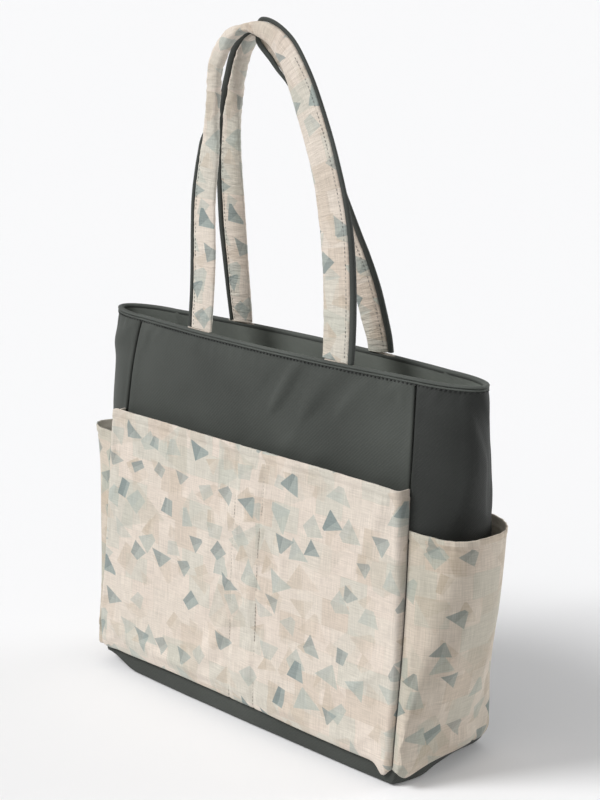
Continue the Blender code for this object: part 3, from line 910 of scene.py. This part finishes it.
# On the gussets and side pockets the first number runs from the middle to this at each seam
FOLD_SPAN = 0.05
GUSSET_FOLDS = (
    ((-0.026, 0.302), -0.62, 0.018, 0.0085, 0.0030),
    ((0.002, 0.292), -1.15, 0.034, 0.0060, -0.0034),
    ((0.010, 0.250), 1.52, 0.040, 0.0055, -0.0026),
    ((0.025, 0.262), 1.45, 0.046, 0.0060, 0.0022),
    ((-0.014, 0.240), 1.40, 0.030, 0.0070, 0.0014),
)
SIDE_FOLDS = (
    ((-0.018, 0.120), 1.45, 0.055, 0.0042, -0.0016),
    ((0.012, 0.075), 1.75, 0.045, 0.0050, 0.0012),
    ((0.028, 0.150), 1.35, 0.050, 0.0045, -0.0012),
)
# Slack beside the pen slot and above the lower corners
POCKET_FOLDS = (
    ((0.052, 0.150), 1.48, 0.060, 0.0070, 0.0011),
    ((-0.042, 0.130), 1.66, 0.050, 0.0080, 0.0009),
    ((0.150, 0.080), 0.62, 0.030, 0.0050, 0.0014),
    ((0.160, 0.066), 0.20, 0.024, 0.0042, -0.0012),
    ((0.112, 0.046), -0.70, 0.034, 0.0060, 0.0012),
    ((0.128, 0.170), 1.30, 0.050, 0.0090, -0.0010),
    ((-0.150, 0.070), 2.30, 0.036, 0.0060, 0.0011),
    ((-0.120, 0.190), 1.75, 0.050, 0.0090, -0.0009),
)
panel_move = settled(panel_surface, 56, 46, held_at_edges, pressure=0.0, cap=0.0011, spare=0.006)
gusset_move = settled(gusset_surface, 30, 46, held_at_edges, pressure=0.0, cap=0.0012, spare=0.008)


def make_panel(name, side, node):
    rows = []
    for t in steps(0.0, 1.0, PANEL_GRID[1]):
        row = []
        for s in graded(PANEL_GRID[0], 0.45):
            p = panel_surface(s, t)
            edge = seam_x(p.z) - SEAM_MARGIN - abs(p.x)
            top = SHELL_TOP - p.z
            fade = eased(edge / 0.012) * eased(top / 0.008) * eased((p.z - SHELL_FOOT) / 0.030)
            full = 0.0013 * eased(edge / 0.040) * eased(top / 0.016)
            relief = (1.9 * folded(p.x, p.z, PANEL_FOLDS[side]) + full) * fade - spread(panel_move, s, t).y
            p.y -= kept(relief, SHELL_DIP, 0.0034)
            p.y += roll(edge, SEAM_ROLL)
            row.append((mirrored(p, side), (p.x, p.z)))
        rows.append(row)
    made = piece(name, rows, [NYLON, LINING], "nylon", (node,))
    cut_flat(rows)
    thicken(made, SHELL_CLOTH, 1)


def make_gusset(name, side, node):
    rows = []
    for t in steps(0.0, 1.0, GUSSET_GRID[1]):
        z = mix(SHELL_FOOT, SHELL_TOP, t)
        most = mix(0.0001, 0.0032, eased((z - SIDE_TOP - 0.004) / 0.030))
        line = []
        for s in graded(GUSSET_GRID[0], 0.3):
            share = mix(-1, 1, s)
            p = gusset_place(share, z)
            depth = (half_depth(z) - abs(p.y)) + abs(p.x - seam_x(z) - SEAM_MARGIN)
            out = facing(lambda at: gusset_place(at, z), share)
            folds = folded(share * FOLD_SPAN, z, GUSSET_FOLDS, 0.0008) * eased((SHELL_TOP - z) / 0.012)
            relief = spread(gusset_move, s, t).dot(out) + folds
            p += out * kept(relief, SHELL_DIP, most) * eased(depth / 0.006)
            p.y -= math.copysign(roll(depth, SEAM_ROLL), p.y)
            line.append(p)
        rows.append([(p, (run, z)) for p, run in measured(line)])
    # The right gusset takes the darker nylon, which paints shade on that end
    outer = SHADED_GUSSET_NYLON if side == RIGHT else NYLON
    made = piece(name, paired(rows, side), [outer, LINING], "nylon", (node,))
    cut_flat(rows)
    thicken(made, SHELL_CLOTH, 1)


def make_shell():
    make_panel("shell_front", FRONT, "front_panel")
    make_panel("shell_rear", REAR, "rear_panel")
    make_gusset("shell_right", RIGHT, "right_gusset")
    make_gusset("shell_left", LEFT, "left_gusset")


def shrunk(ring, share, z):
    """A smaller copy of a ring, flat at one height."""
    return [(Vector((p.x * share, p.y * share, z)), (p.x * share, p.y * share)) for p in ring]


def make_base():
    """The dark band, turned under at the floor, in one piece with the underside."""
    turn = 0.0032
    off_floor = 0.0004
    profile = []
    for angle in steps(0.0, math.pi / 2, 9):
        profile.append((turn * (1.0 - math.sin(angle)), turn * (1.0 - math.cos(angle))))
    profile += [(-0.0001, 0.0060), (-0.0002, 0.0105), (0.0003, 0.0160), (0.0012, BAND)]
    inner = body_ring(0.0, 0.0052)
    rows = [shrunk(inner, share, off_floor) for share in (0.02, 0.30, 0.60, 0.82, 0.94, 1.0)]
    for inset, z in profile:
        row = []
        for p, run in measured(body_ring(z, inset)):
            wave = 0.0004 * rough(run * 14.0, z * 60.0)
            row.append((Vector((p.x, p.y, max(p.z + off_floor + wave, 0.0003))), (run, z)))
        rows.append(row)
    made = piece("base_band", rows, [NYLON, LINING], "nylon", ("base_panel",), closed=True)
    thicken(made, SHELL_CLOTH, 1, even=False)


def make_board():
    """The board in the floor, cut to the base as it lies."""
    profile = [(0.030, 0.0016), (0.0090, 0.0016), (0.0082, 0.0019)]
    profile += [(0.0082, 0.0037), (0.0090, 0.0040), (0.030, 0.0040)]
    rows = [[(p, (p.x, p.y)) for p in body_ring(z, inset)] for inset, z in profile]
    piece("board_inside", rows, [board_finish()], "board", ("base_board",), closed=True, caps=True)


def lining_inset(z):
    start = HEIGHT - 0.080
    return mix(0.0018, 0.0038, eased((z - start) / 0.0394))


def make_lining():
    """The inside, with its corner seams and floor."""
    rows = []
    for t in steps(0.0, 1.0, 60):
        z = mix(0.0052, SHELL_TOP, t)
        inset = lining_inset(z)
        corner = seam_x(z, inset)
        row = []
        for p, run in measured(body_ring(z, inset)):
            near = math.hypot(abs(p.x) - corner, abs(p.y) - half_depth(z) + inset)
            pull = 0.0013 * bell(near, 0.0022)
            inward = Vector((-p.x, -p.y * 3.0, 0.0)).normalized()
            sag = 0.0007 * rough(run * 11.0, z * 14.0) * eased((HEIGHT - 0.010 - z) / 0.02)
            row.append((p + inward * (pull + max(sag, 0.0)), (run, z)))
        rows.append(row)
    rows.reverse()
    foot = [p for p, _ in rows[-1]]
    rows += [shrunk(foot, share, LINING_FLOOR + 0.0009) for share in (0.94, 0.5, 0.02)]
    nodes = ("lining_front", "lining_rear", "lining_left", "lining_right", "lining_base")
    piece("lining_inside", rows, [LINING], "lining", nodes, closed=True)


# The rim's rolled edge, as (inset, height past the rim's)
RIM_PROFILE = (
    (0.0004, -0.0046), (-0.0004, -0.0045), (-0.0008, -0.0041), (-0.0009, -0.0036), (-0.0006, -0.0031),
    (0.0000, -0.0028), (0.0000, -0.0025), (-0.0007, -0.0023), (-0.0012, -0.0018), (-0.0013, -0.0012),
    (-0.0009, -0.0005), (0.0001, -0.0001), (0.0012, 0.0000), (0.0022, -0.0004), (0.0030, -0.0006),
    (0.0038, -0.0010), (0.0042, -0.0018), (0.0040, -0.0032), (0.0037, -0.0042), (0.0028, -0.0046),
)
def make_rim():
    """A rolled edge with a row of stitches below it."""
    rows = []
    lift = 0.0
    last = None
    for inset, rise in RIM_PROFILE:
        z = HEIGHT + rise
        lift += math.hypot(inset - last[0], z - last[1]) if last else 0.0
        last = (inset, z)
        row = []
        for p, run in measured(body_ring(z, inset)):
            row.append((Vector((p.x, p.y, p.z + 0.0003 * rough(run * 18.0, 4.0))), (run, lift)))
        rows.append(row)
    rows.append(list(rows[0]))
    piece("rim_roll", rows, [RIM], "nylon", ("rim_binding",), closed=True)
    path = []
    ring = body_ring(HEIGHT - RIM_STITCH_DROP, -PLAY)
    for p, ahead in zip(ring, ring[1:] + ring[:1]):
        along = (ahead - p).normalized()
        path.append((p, Vector((along.y, -along.x, 0.0))))
    path.append(path[0])
    made = stitches("rim_stitches", path, DARK_THREAD, length=0.0024, gap=0.0017, width=0.00085)


# Pockets


def foot_rise(z):
    share = min(max((z - POCKET_LOW) / FOOT_RADIUS, 0.0), 1.0)
    return math.sqrt(1.0 - (1.0 - share) ** 2)


def pocket_standoff(z):
    full = mix(0.0055, 0.0135, (z - POCKET_LOW) / (POCKET_TOP - POCKET_LOW))
    return mix(FOOT_LEDGE, full, foot_rise(z))


# How far past the body's seam the pockets' own corner seam falls, by height
FLARES = {
    LEFT: (
        (0.0, 0.0010), (0.020, 0.0050), (0.050, 0.0072), (0.100, 0.0066),
        (0.150, 0.0070), (0.190, 0.0066), (0.225, 0.0046), (0.250, 0.0034),
    ),
    RIGHT: (
        (0.0, 0.0006), (0.035, 0.0010), (0.070, 0.0026), (0.110, 0.0040),
        (0.160, 0.0044), (0.215, 0.0034), (0.250, 0.0024),
    ),
}
def front_pocket_path(z):
    """The pocket's outline as (x, standoff), from the left seam to the right one."""
    standoff = pocket_standoff(z)
    slack = 0.0026 * eased(z / 0.06)
    sides = []
    for side, round_share in ((LEFT, 0.45), (RIGHT, 0.85)):
        edge = seam_x(z) - POCKET_SEAM + through(FLARES[side], z)
        deep = standoff + (slack if side == LEFT else 0.0)
        radius = min(0.0070, deep * 0.9) * round_share
        line = [(edge, 0.0), (edge, (deep - radius) * 0.5)]
        for angle in steps(0.0, math.pi / 2, 7):
            line.append((edge - radius * (1.0 - math.cos(angle)), deep - radius * (1.0 - math.sin(angle))))
        sides.append((line, edge - radius))
    (left, left_inner), (right, right_inner) = sides
    between = steps(-left_inner, right_inner, 30)[1:-1]
    front = [(x, standoff + slack * eased((-x - 0.10) / 0.07)) for x in between]
    return [(-x, out) for x, out in left] + front + list(reversed(right))


def along_path(path, share):
    """The x and standoff at a share of an outline, and how far along it that lies."""
    run = [0.0]
    for (a, b), (c, d) in zip(path, path[1:]):
        run.append(run[-1] + math.hypot(c - a, d - b))
    goal = share * run[-1]
    j, part = located(run, goal)
    return mix(path[j][0], path[j + 1][0], part), mix(path[j][1], path[j + 1][1], part), goal


# The height of the front pocket's foot, and how far its top edge drops, by x
POCKET_FOOT = (
    (-0.190, 0.0160), (-0.160, 0.0174), (-0.118, 0.0184), (-0.075, 0.0192), (0.030, 0.0187),
    (0.083, 0.0173), (0.131, 0.0168), (0.166, 0.0168), (0.190, 0.0168),
)


LOBE_X = 0.1805
def lobe(x):
    """How far the pocket's foot hangs down at its right corner, and less at its left."""
    if x > 0.0:
        return 0.0082 * bell(abs(x) - LOBE_X, 0.0078 if x < LOBE_X else 0.0050)
    return 0.0022 * bell(abs(x) - LOBE_X, 0.0080)


TOP_DROPS = (
    (-0.200, 0.0050), (-0.1802, 0.0036), (-0.1770, 0.0014), (-0.1725, 0.0), (-0.160, 0.0), (0.090, 0.0),
    (0.131, 0.0009), (0.166, 0.0018), (0.180, 0.0030), (0.1885, 0.0046), (0.20, 0.0056),
)


def pocket_top(x):
    """The top edge's height, lower at its left corner and towards its right one."""
    return POCKET_TOP - through(TOP_DROPS, x)


def pocket_point(s, t):
    """A place on the front pocket's outer side, and its distance along the cloth."""
    x, out, run = along_path(front_pocket_path(mix(POCKET_LOW, POCKET_TOP, t)), s)
    z = mix(through(POCKET_FOOT, x) - lobe(x), pocket_top(x), t)
    return Vector((x, -panel_depth(x, z) - PLAY - out, z)), run


def pocket_surface(s, t):
    return pocket_point(s, t)[0]


def pocket_held(s, t):
    if s < 0.03 or s > 0.97 or t < 0.03:
        return 1.0
    p = pocket_surface(s, t)
    if min(abs(p.x - through(seam, p.z)) for seam in PEN_SLOT) < 0.0032:
        return 1.0
    return 0.5 if t > 0.985 else 0.0


def make_front_pocket():
    moves = settled(pocket_surface, 64, 40, pocket_held, pressure=0.35, cap=0.0020, spare=0.010)
    rows = []
    shares = graded(POCKET_GRID[0], 0.35)
    for t in graded(POCKET_GRID[1], 0.3):
        calm = mix(0.25, 1.0, eased((1.0 - t) / 0.12))
        row = []
        for s in shares:
            p, run = pocket_point(s, t)
            z = p.z
            room = -p.y - panel_depth(p.x, z) - CANVAS - 0.0010
            relief = calm * (1.3 * folded(p.x, z, POCKET_FOLDS) - spread(moves, s, t).y)
            p.y -= kept(relief, max(min(room * 0.5, 0.0020), 0.0), 0.0026)
            below = pocket_top(p.x) - z
            for seam in PEN_SLOT:
                beside = p.x - through(seam, z)
                p.y += 0.0011 * bell(beside, 0.0016)
                p.y -= 0.00035 * bell(beside, 0.0075) * rough(p.x * 60.0, z * 170.0, 2.0)
            p.y += 0.0006 * bell(below - HEM, 0.0010)
            p.y -= 0.0005 * eased((HEM - below) / 0.002)
            row.append((p, (run, z)))
        rows.append(row)
    inward = []
    for back, drop in ((0.0034, -0.0002), (0.0016, -0.0008)):
        narrower = 1.0 - back * 0.4
        row = []
        for p, (u, v) in rows[0]:
            row.append((Vector((p.x * narrower, p.y + back, p.z + drop)), (u, v - back)))
        inward.append(row)
    rows = inward + rows
    nodes = ("front_pocket", "front_pocket_lining")
    made = piece("front_pocket_canvas", rows, [PRINT, INSIDE], "canvas", nodes)
    cut_flat(rows)
    thicken(made, CANVAS, 1)
    for index, seam in enumerate(PEN_SLOT):
        path = []
        for z in steps(0.0215, 0.2440, 90):
            x = through(seam, z)
            y = -panel_depth(x, z) - PLAY - pocket_standoff(z) + 0.0009
            path.append((Vector((x, y, z)), Vector((0.0, -1.0, 0.0))))
        name = "pen_slot_stitches_%d" % (index + 1)
        stitches(name, path, PALE_THREAD, width=0.00042)


# How far the side pockets stand off at the rear, by height
REAR_STANDOFFS = (
    (0.010, 0.0014), (0.030, 0.0016), (0.053, 0.0030), (0.075, 0.0062),
    (0.100, 0.0084), (0.150, 0.0124), (0.215, 0.0166),
)


def side_standoff(z, share):
    full = mix(0.0070, 0.0165, (z - POCKET_LOW) / (SIDE_TOP - POCKET_LOW))
    full = mix(full, through(REAR_STANDOFFS, z), eased((share + 0.05) / 0.6))
    return mix(FOOT_LEDGE * (1.0 if share < 0.2 else 0.5), full, foot_rise(z))


def side_foot(share):
    """The foot's height: it hangs lower at its front corner and rises at its rear one."""
    front = 0.0066 * bell(share + 0.44, 0.24)
    notch = 0.0018 * bell(share + 1.0, 0.16)
    rise = -0.0034 * eased((share - 0.20) / 0.24) + 0.0110 * eased((share - 0.48) / 0.42)
    return 0.0152 - front + notch + rise


def side_point(s, t, side=RIGHT):
    """Squarer than the gusset at the pocket's front corner, and fuller low down."""
    share = mix(-1, 1, s)
    flat = mix(POCKET_LOW, SIDE_TOP, t)
    lift = 0.0060 * eased((0.45 - share) / 0.8) if side == LEFT else 0.0012 * math.sin(share * 2.0)
    z = mix(side_foot(share), SIDE_TOP + lift, t)
    seam = seam_x(z) + POCKET_SEAM
    reach = half_width(z) - seam + PLAY
    low = 1.0 - eased((flat - 0.030) / 0.130)
    square = mix(mix(0.15, -0.45, low), 1.05, eased((0.35 - share) / 0.7))
    c, sine = rounded(share * math.pi / 2, gusset_round(z) + square)
    full = mix(0.0010, 0.0046, low) * eased(-share / 0.4) * math.sin(math.pi * min((1.0 + share) * 1.4, 0.5))
    front = through(FLARES[side], z) * (1.0 - abs(c)) * eased((0.2 - share) / 0.5)
    x = seam + front + (reach + side_standoff(flat, share)) * abs(c)
    return Vector((x, (half_depth(z) + PLAY + CANVAS + full) * sine, z))


def side_held(s, t):
    return 1.0 if s < 0.03 or s > 0.97 or t < 0.03 else (0.4 if t > 0.985 else 0.0)


def make_side_pockets():
    moves = settled(side_point, 34, 40, side_held, pressure=0.25, cap=0.0026, spare=0.016)
    for name, side, print_start in (("right", RIGHT, 0.4), ("left", LEFT, 0.7)):
        rows = []
        for t in graded(SIDE_GRID[1], 0.3):
            line = []
            for s in graded(SIDE_GRID[0], 0.3):
                p = side_point(s, t, side)
                share = mix(-1, 1, s)
                outward = facing(lambda at: side_point((at + 1.0) / 2, t, side), share)
                relief = spread(moves, s, t).dot(outward) + folded(share * FOLD_SPAN, p.z, SIDE_FOLDS)
                room = side_standoff(mix(POCKET_LOW, SIDE_TOP, t), share) - CANVAS - 0.0006
                apart = eased(abs(math.cos(share * math.pi / 2)) / 0.30)
                p += outward * kept(relief, max(min(room * 0.5, 0.0024), 0.0), 0.0022) * apart
                below = side_point(s, 1.0, side).z - p.z
                p -= outward * (0.0005 * bell(below - HEM, 0.0010))
                p += outward * (0.0005 * eased((HEM - below) / 0.002))
                line.append(p)
            rows.append([(p, (run + print_start, p.z)) for p, run in measured(line)])
        tuck = []
        for share in (0.955, 0.985):
            row = []
            for p, (u, v) in rows[0]:
                row.append((Vector((p.x * share, p.y * (share - 0.01), p.z - 0.0004)), (u, v - 0.002)))
            tuck.append(row)
        rows = tuck + rows
        nodes = (name + "_side_pocket",)
        # The side pockets take the darker print tint: painted shade on the sides
        made = piece(name + "_side_canvas", paired(rows, side), [SHADED_SIDE_PRINT, INSIDE], "canvas", nodes)
        cut_flat(rows)
        thicken(made, CANVAS, 1, even=False)


# Straps


def smooth_run(table, count):
    """Rows spaced evenly along a smooth curve through a table's rows."""
    fine = []
    last = len(table) - 1
    for i in range(last):
        near = (table[max(i - 1, 0)], table[i], table[i + 1], table[min(i + 2, last)])
        for share in steps(0.0, 1.0, 20)[:-1]:
            fine.append([
                b + share * (c - a) / 2
                + share**2 * (a - 2.5 * b + 2 * c - d / 2)
                + share**3 * (1.5 * (b - c) + (d - a) / 2)
                for a, b, c, d in zip(*near)
            ])
    fine.append(list(table[last]))
    run = [0.0]
    for one, two in zip(fine, fine[1:]):
        across = (two[0] + two[2] - one[0] - one[2]) / 2000.0
        up = (two[1] + two[3] - one[1] - one[3]) / 2000.0
        run.append(run[-1] + math.hypot(across, up))
    rows = []
    for goal in steps(0.0, run[-1], count):
        j, share = located(run, goal)
        rows.append([mix(a, b, share) for a, b in zip(fine[j], fine[j + 1])])
    return rows, run[-1]


# Where each strap is pinched at its top, and the rows where its seams stop and start again
PINCHES = {FRONT: 0.2905, REAR: 0.272}
LEG_ROWS = {FRONT: (140, 326), REAR: (165, 330)}


class Strap:
    """Places along one strap, each with its own directions, width and thickness."""

    def __init__(self, table, side):
        self.side = side
        rows, length = smooth_run(table, STRAP_ROWS)
        borders = [self.place(row[0], row[1]) for row in rows]
        inners = [self.place(row[2], row[3]) for row in rows]
        middles = [(a + b) / 2 for a, b in zip(borders, inners)]
        self.rows = []
        for i, (_, _, _, _, edge, tuck) in enumerate(rows):
            along = (middles[min(i + 5, STRAP_ROWS)] - middles[max(i - 5, 0)]).normalized()
            across = borders[i] - inners[i]
            width = across.length
            across = (across - along * across.dot(along)).normalized()
            run = i * length / STRAP_ROWS
            flat = mix(0.68, 1.0, eased(min(run, length - run) / 0.014))
            lean = 1.0 - min(width / SLEEVE_WIDTH, 1.0)
            thick = SLEEVE_THICKNESS * flat + 0.0098 * lean
            deep = along.cross(across)
            self.rows.append((middles[i], across, deep, width, thick, edge / 1000.0, tuck, run))

    def place(self, x, z):
        share = (z / 1000.0 - STRAP_FOOT) / (STRAP_TOP - STRAP_FOOT)
        return Vector((x / 1000.0, self.side * mix(STRAP_Y, ARCH_HALF_GAP, share), z / 1000.0))

    def surface(self, row, off_border, face):
        """A place on the sleeve's face, a distance in from its border."""
        middle, across, deep, width, thick = row[:5]
        c = 1.0 - 2.0 * off_border / width
        s = (1.0 - abs(c) ** STRAP_ROUNDNESS) ** (1.0 / STRAP_ROUNDNESS)
        return middle + across * (c * width / 2) + deep * (face * s * thick / 2), deep * face


def section(middle, across, deep, width, thickness, sides, run, push):
    """One row round a strap. push says how much thicker it is at each side."""
    line = []
    for i in range(sides):
        c, s = rounded(math.tau * (i + 0.5) / sides, STRAP_ROUNDNESS)
        more = 1.0 + push(c, s)
        wide = c * width / 2 * mix(1.0, more, 0.03)
        line.append(middle + across * wide + deep * (s * thickness / 2 * more))
    return [(p, (around, run)) for p, around in measured(line)]


def make_strap(name, table, side):
    """A padded printed sleeve, gathered where it is sewn, and its folded edging."""
    strap = Strap(table, side)
    seed = 3.0 * side
    sleeve = []
    edging = []
    for middle, across, deep, width, thick, edge, tuck, run in strap.rows:
        bent = 1.0 - min(width / SLEEVE_WIDTH, 1.0)

        def puckers(c, s):
            border = bell(c - 0.80, 0.30) + 0.7 * bell(c + 0.86, 0.26)
            slant = run + c * 0.0016
            fine = (0.14 + 0.18 * border) * rough(slant * 235.0, c * 0.7, seed + s * 0.3)
            broad = (0.10 + 0.16 * bent) * rough(slant * 62.0, c * 1.1, seed + s * 0.5)
            seam = -0.16 * bell(abs(c) - 0.76, 0.07) * (1.0 if c > 0 else 0.4)
            pinch = -0.55 * bell(run - PINCHES[side] + c * 0.005, 0.0022)
            return fine + broad + seam + pinch

        def slight(c, _):
            return 0.06 * rough(run * 90.0, c, seed)

        sleeve.append(section(middle, across, deep, width, thick, SLEEVE_SIDES, run, puckers))
        beside = (width + edge) / 2 + PLAY
        deep_edge = edge * EDGING_FULLNESS
        away = eased(abs(tuck))
        aside = width * 0.12 if tuck > 0.0 else (edge - width) / 2 - 0.0006
        turned = math.copysign(math.sin(away * math.pi / 2), -tuck) * (thick / 2 + deep_edge * 0.62)
        place = middle + across * mix(beside, aside, away) + deep * turned
        edging.append(section(place, across, deep, edge, deep_edge, EDGING_SIDES, run, slight))
    ends = {"closed": True, "caps": True, "body": name}
    nodes = (name + "_sleeve", name + "_core")
    made = piece(name + "_canvas", sleeve, [STRAP_PRINT], "canvas", nodes, **ends)
    piece(name + "_binding", edging, [EDGING], "nylon", (name + "_edging",), **ends)
    legs = ((2, LEG_ROWS[side][0]), (LEG_ROWS[side][1], len(strap.rows) - 3))
    for face, label in ((1.0, "front"), (-1.0, "rear")):
        for number, (first, end) in enumerate(legs):
            path = [strap.surface(row, 0.0034, face) for row in strap.rows[first:end]]
            seam = "%s_stitches_%s_%d" % (name, label, number + 1)
            made = stitches(seam, path, SEAM_THREAD, length=0.0020, gap=0.0014, width=0.00034, body=name)


def make_tails():
    """The straps' sewn ends, between the shell and the lining."""
    low, high, sides = 0.0726, 0.1044, 20
    for name, x_side, side in (
        ("front_left", LEFT, FRONT), ("front_right", RIGHT, FRONT),
        ("rear_left", LEFT, REAR), ("rear_right", RIGHT, REAR),
    ):
        rows = []
        for z in steps(0.2905, 0.3304, 16):
            line = []
            for i in range(sides):
                c, s = rounded(math.tau * (i + 0.5) / sides, 4.0)
                x = x_side * mix(low, high, (c + 1.0) / 2)
                line.append(Vector((x, side * (panel_depth(x, z) - 0.0026 + s * 0.0010), z)))
            row = [(p, (around, z)) for p, around in measured(line)]
            rows.append(row if x_side * side > 0 else row[::-1])
        nodes = (name + "_strap_tail",)
        piece(name + "_tail_canvas", rows, [PRINT], "canvas", nodes, closed=True, caps=True)


make_shell()
make_base()
make_lining()
make_rim()
make_front_pocket()
make_side_pockets()
make_tails()
make_strap("front_handle", FRONT_STRAP, FRONT)
make_strap("rear_handle", REAR_STRAP, REAR)

make_board()


# Floor, light and camera


def stage_material():
    made = bpy.data.materials.new("floor_paper")
    made.use_nodes = True
    n = Nodes(made.node_tree)
    shader = n.tree.nodes["Principled BSDF"]
    shader.inputs["Base Color"].default_value = (0.797, 0.797, 0.806, 1.0)
    shader.inputs["Roughness"].default_value = 0.9
    shader.inputs["Specular IOR Level"].default_value = 0.05
    path = n.node("ShaderNodeLightPath")
    glow = n.node("ShaderNodeEmission")
    n.put(glow.inputs["Color"], (1.0, 1.0, 0.995, 1.0))
    n.put(glow.inputs["Strength"], n.times(path.outputs["Is Camera Ray"], 0.07))
    both = n.node("ShaderNodeAddShader")
    n.put(both.inputs[0], shader.outputs[0])
    n.put(both.inputs[1], glow.outputs[0])
    n.end("Material Output", both)
    return made


def make_stage():
    size = 60
    corners = [(-size, -size, 0), (size, -size, 0), (size, size, 0), (-size, size, 0)]
    mesh = bpy.data.meshes.new("floor")
    mesh.from_pydata(corners, [], [(0, 1, 2, 3)])
    mesh.materials.append(stage_material())
    floor = linked("floor", mesh)
    floor.location.z = -0.0003


def make_world():
    """Light, strongest from the front left and above. The camera and gloss see a plain pale background."""
    world = bpy.data.worlds.new("studio")
    bpy.context.scene.world = world
    world.use_nodes = True
    n = Nodes(world.node_tree)
    back = n.tree.nodes["Background"]
    n.put(back.inputs["Color"], (1.0, 1.0, 1.0, 1.0))
    toward = n.node("ShaderNodeVectorMath", operation="DOT_PRODUCT")
    n.put(toward.inputs[0], n.node("ShaderNodeTexCoord").outputs["Generated"])
    n.put(toward.inputs[1], (-0.50, -0.62, 0.60))
    n.put(back.inputs["Strength"], n.fused(toward.outputs["Value"], 0.31, 0.36))
    white = n.node("ShaderNodeBackground")
    n.put(white.inputs["Color"], (0.880, 0.880, 0.870, 1.0))
    n.put(white.inputs["Strength"], 1.0)
    rays = n.node("ShaderNodeLightPath").outputs
    seen = n.math("MAXIMUM", rays["Is Camera Ray"], rays["Is Glossy Ray"])
    seen = n.math("MAXIMUM", seen, rays["Is Transmission Ray"])
    chosen = n.node("ShaderNodeMixShader")
    for socket, value in zip(chosen.inputs, (seen, back.outputs[0], white.outputs[0])):
        n.put(socket, value)
    n.end("World Output", chosen)


def sun(name, toward, strength, softness):
    """An even light, the same all over the floor."""
    light = bpy.data.lights.new(name, "SUN")
    light.energy = strength
    light.angle = math.radians(softness)
    linked(name, light).rotation_euler = Vector(toward).to_track_quat("Z", "Y").to_euler()


def make_camera():
    """The photograph's place and angle, turned very slightly about the line of sight."""
    data = bpy.data.cameras.new("camera")
    data.lens = 86.43
    data.sensor_width = 36.0
    azimuth, elevation = math.radians(46.9075), math.radians(14.0111)
    back = Vector((
        math.sin(azimuth) * math.cos(elevation),
        -math.cos(azimuth) * math.cos(elevation),
        math.sin(elevation),
    ))
    place = Matrix.Translation((1.1815, -1.0913, 0.6790))
    turn = back.to_track_quat("Z", "Y").to_matrix().to_4x4()
    tilt = Euler((0.0, 0.0, math.radians(-0.099))).to_matrix().to_4x4()
    camera = linked("camera", data)
    camera.matrix_world = place @ turn @ tilt
    bpy.context.scene.camera = camera


make_stage()
make_world()
sun("key", (-0.38, -0.62, 0.69), 2.36, 24.0)
sun("fill", (0.46, 0.88, 0.12), 2.30, 40.0)
make_camera()
bpy.context.scene.view_settings.view_transform = "Standard"
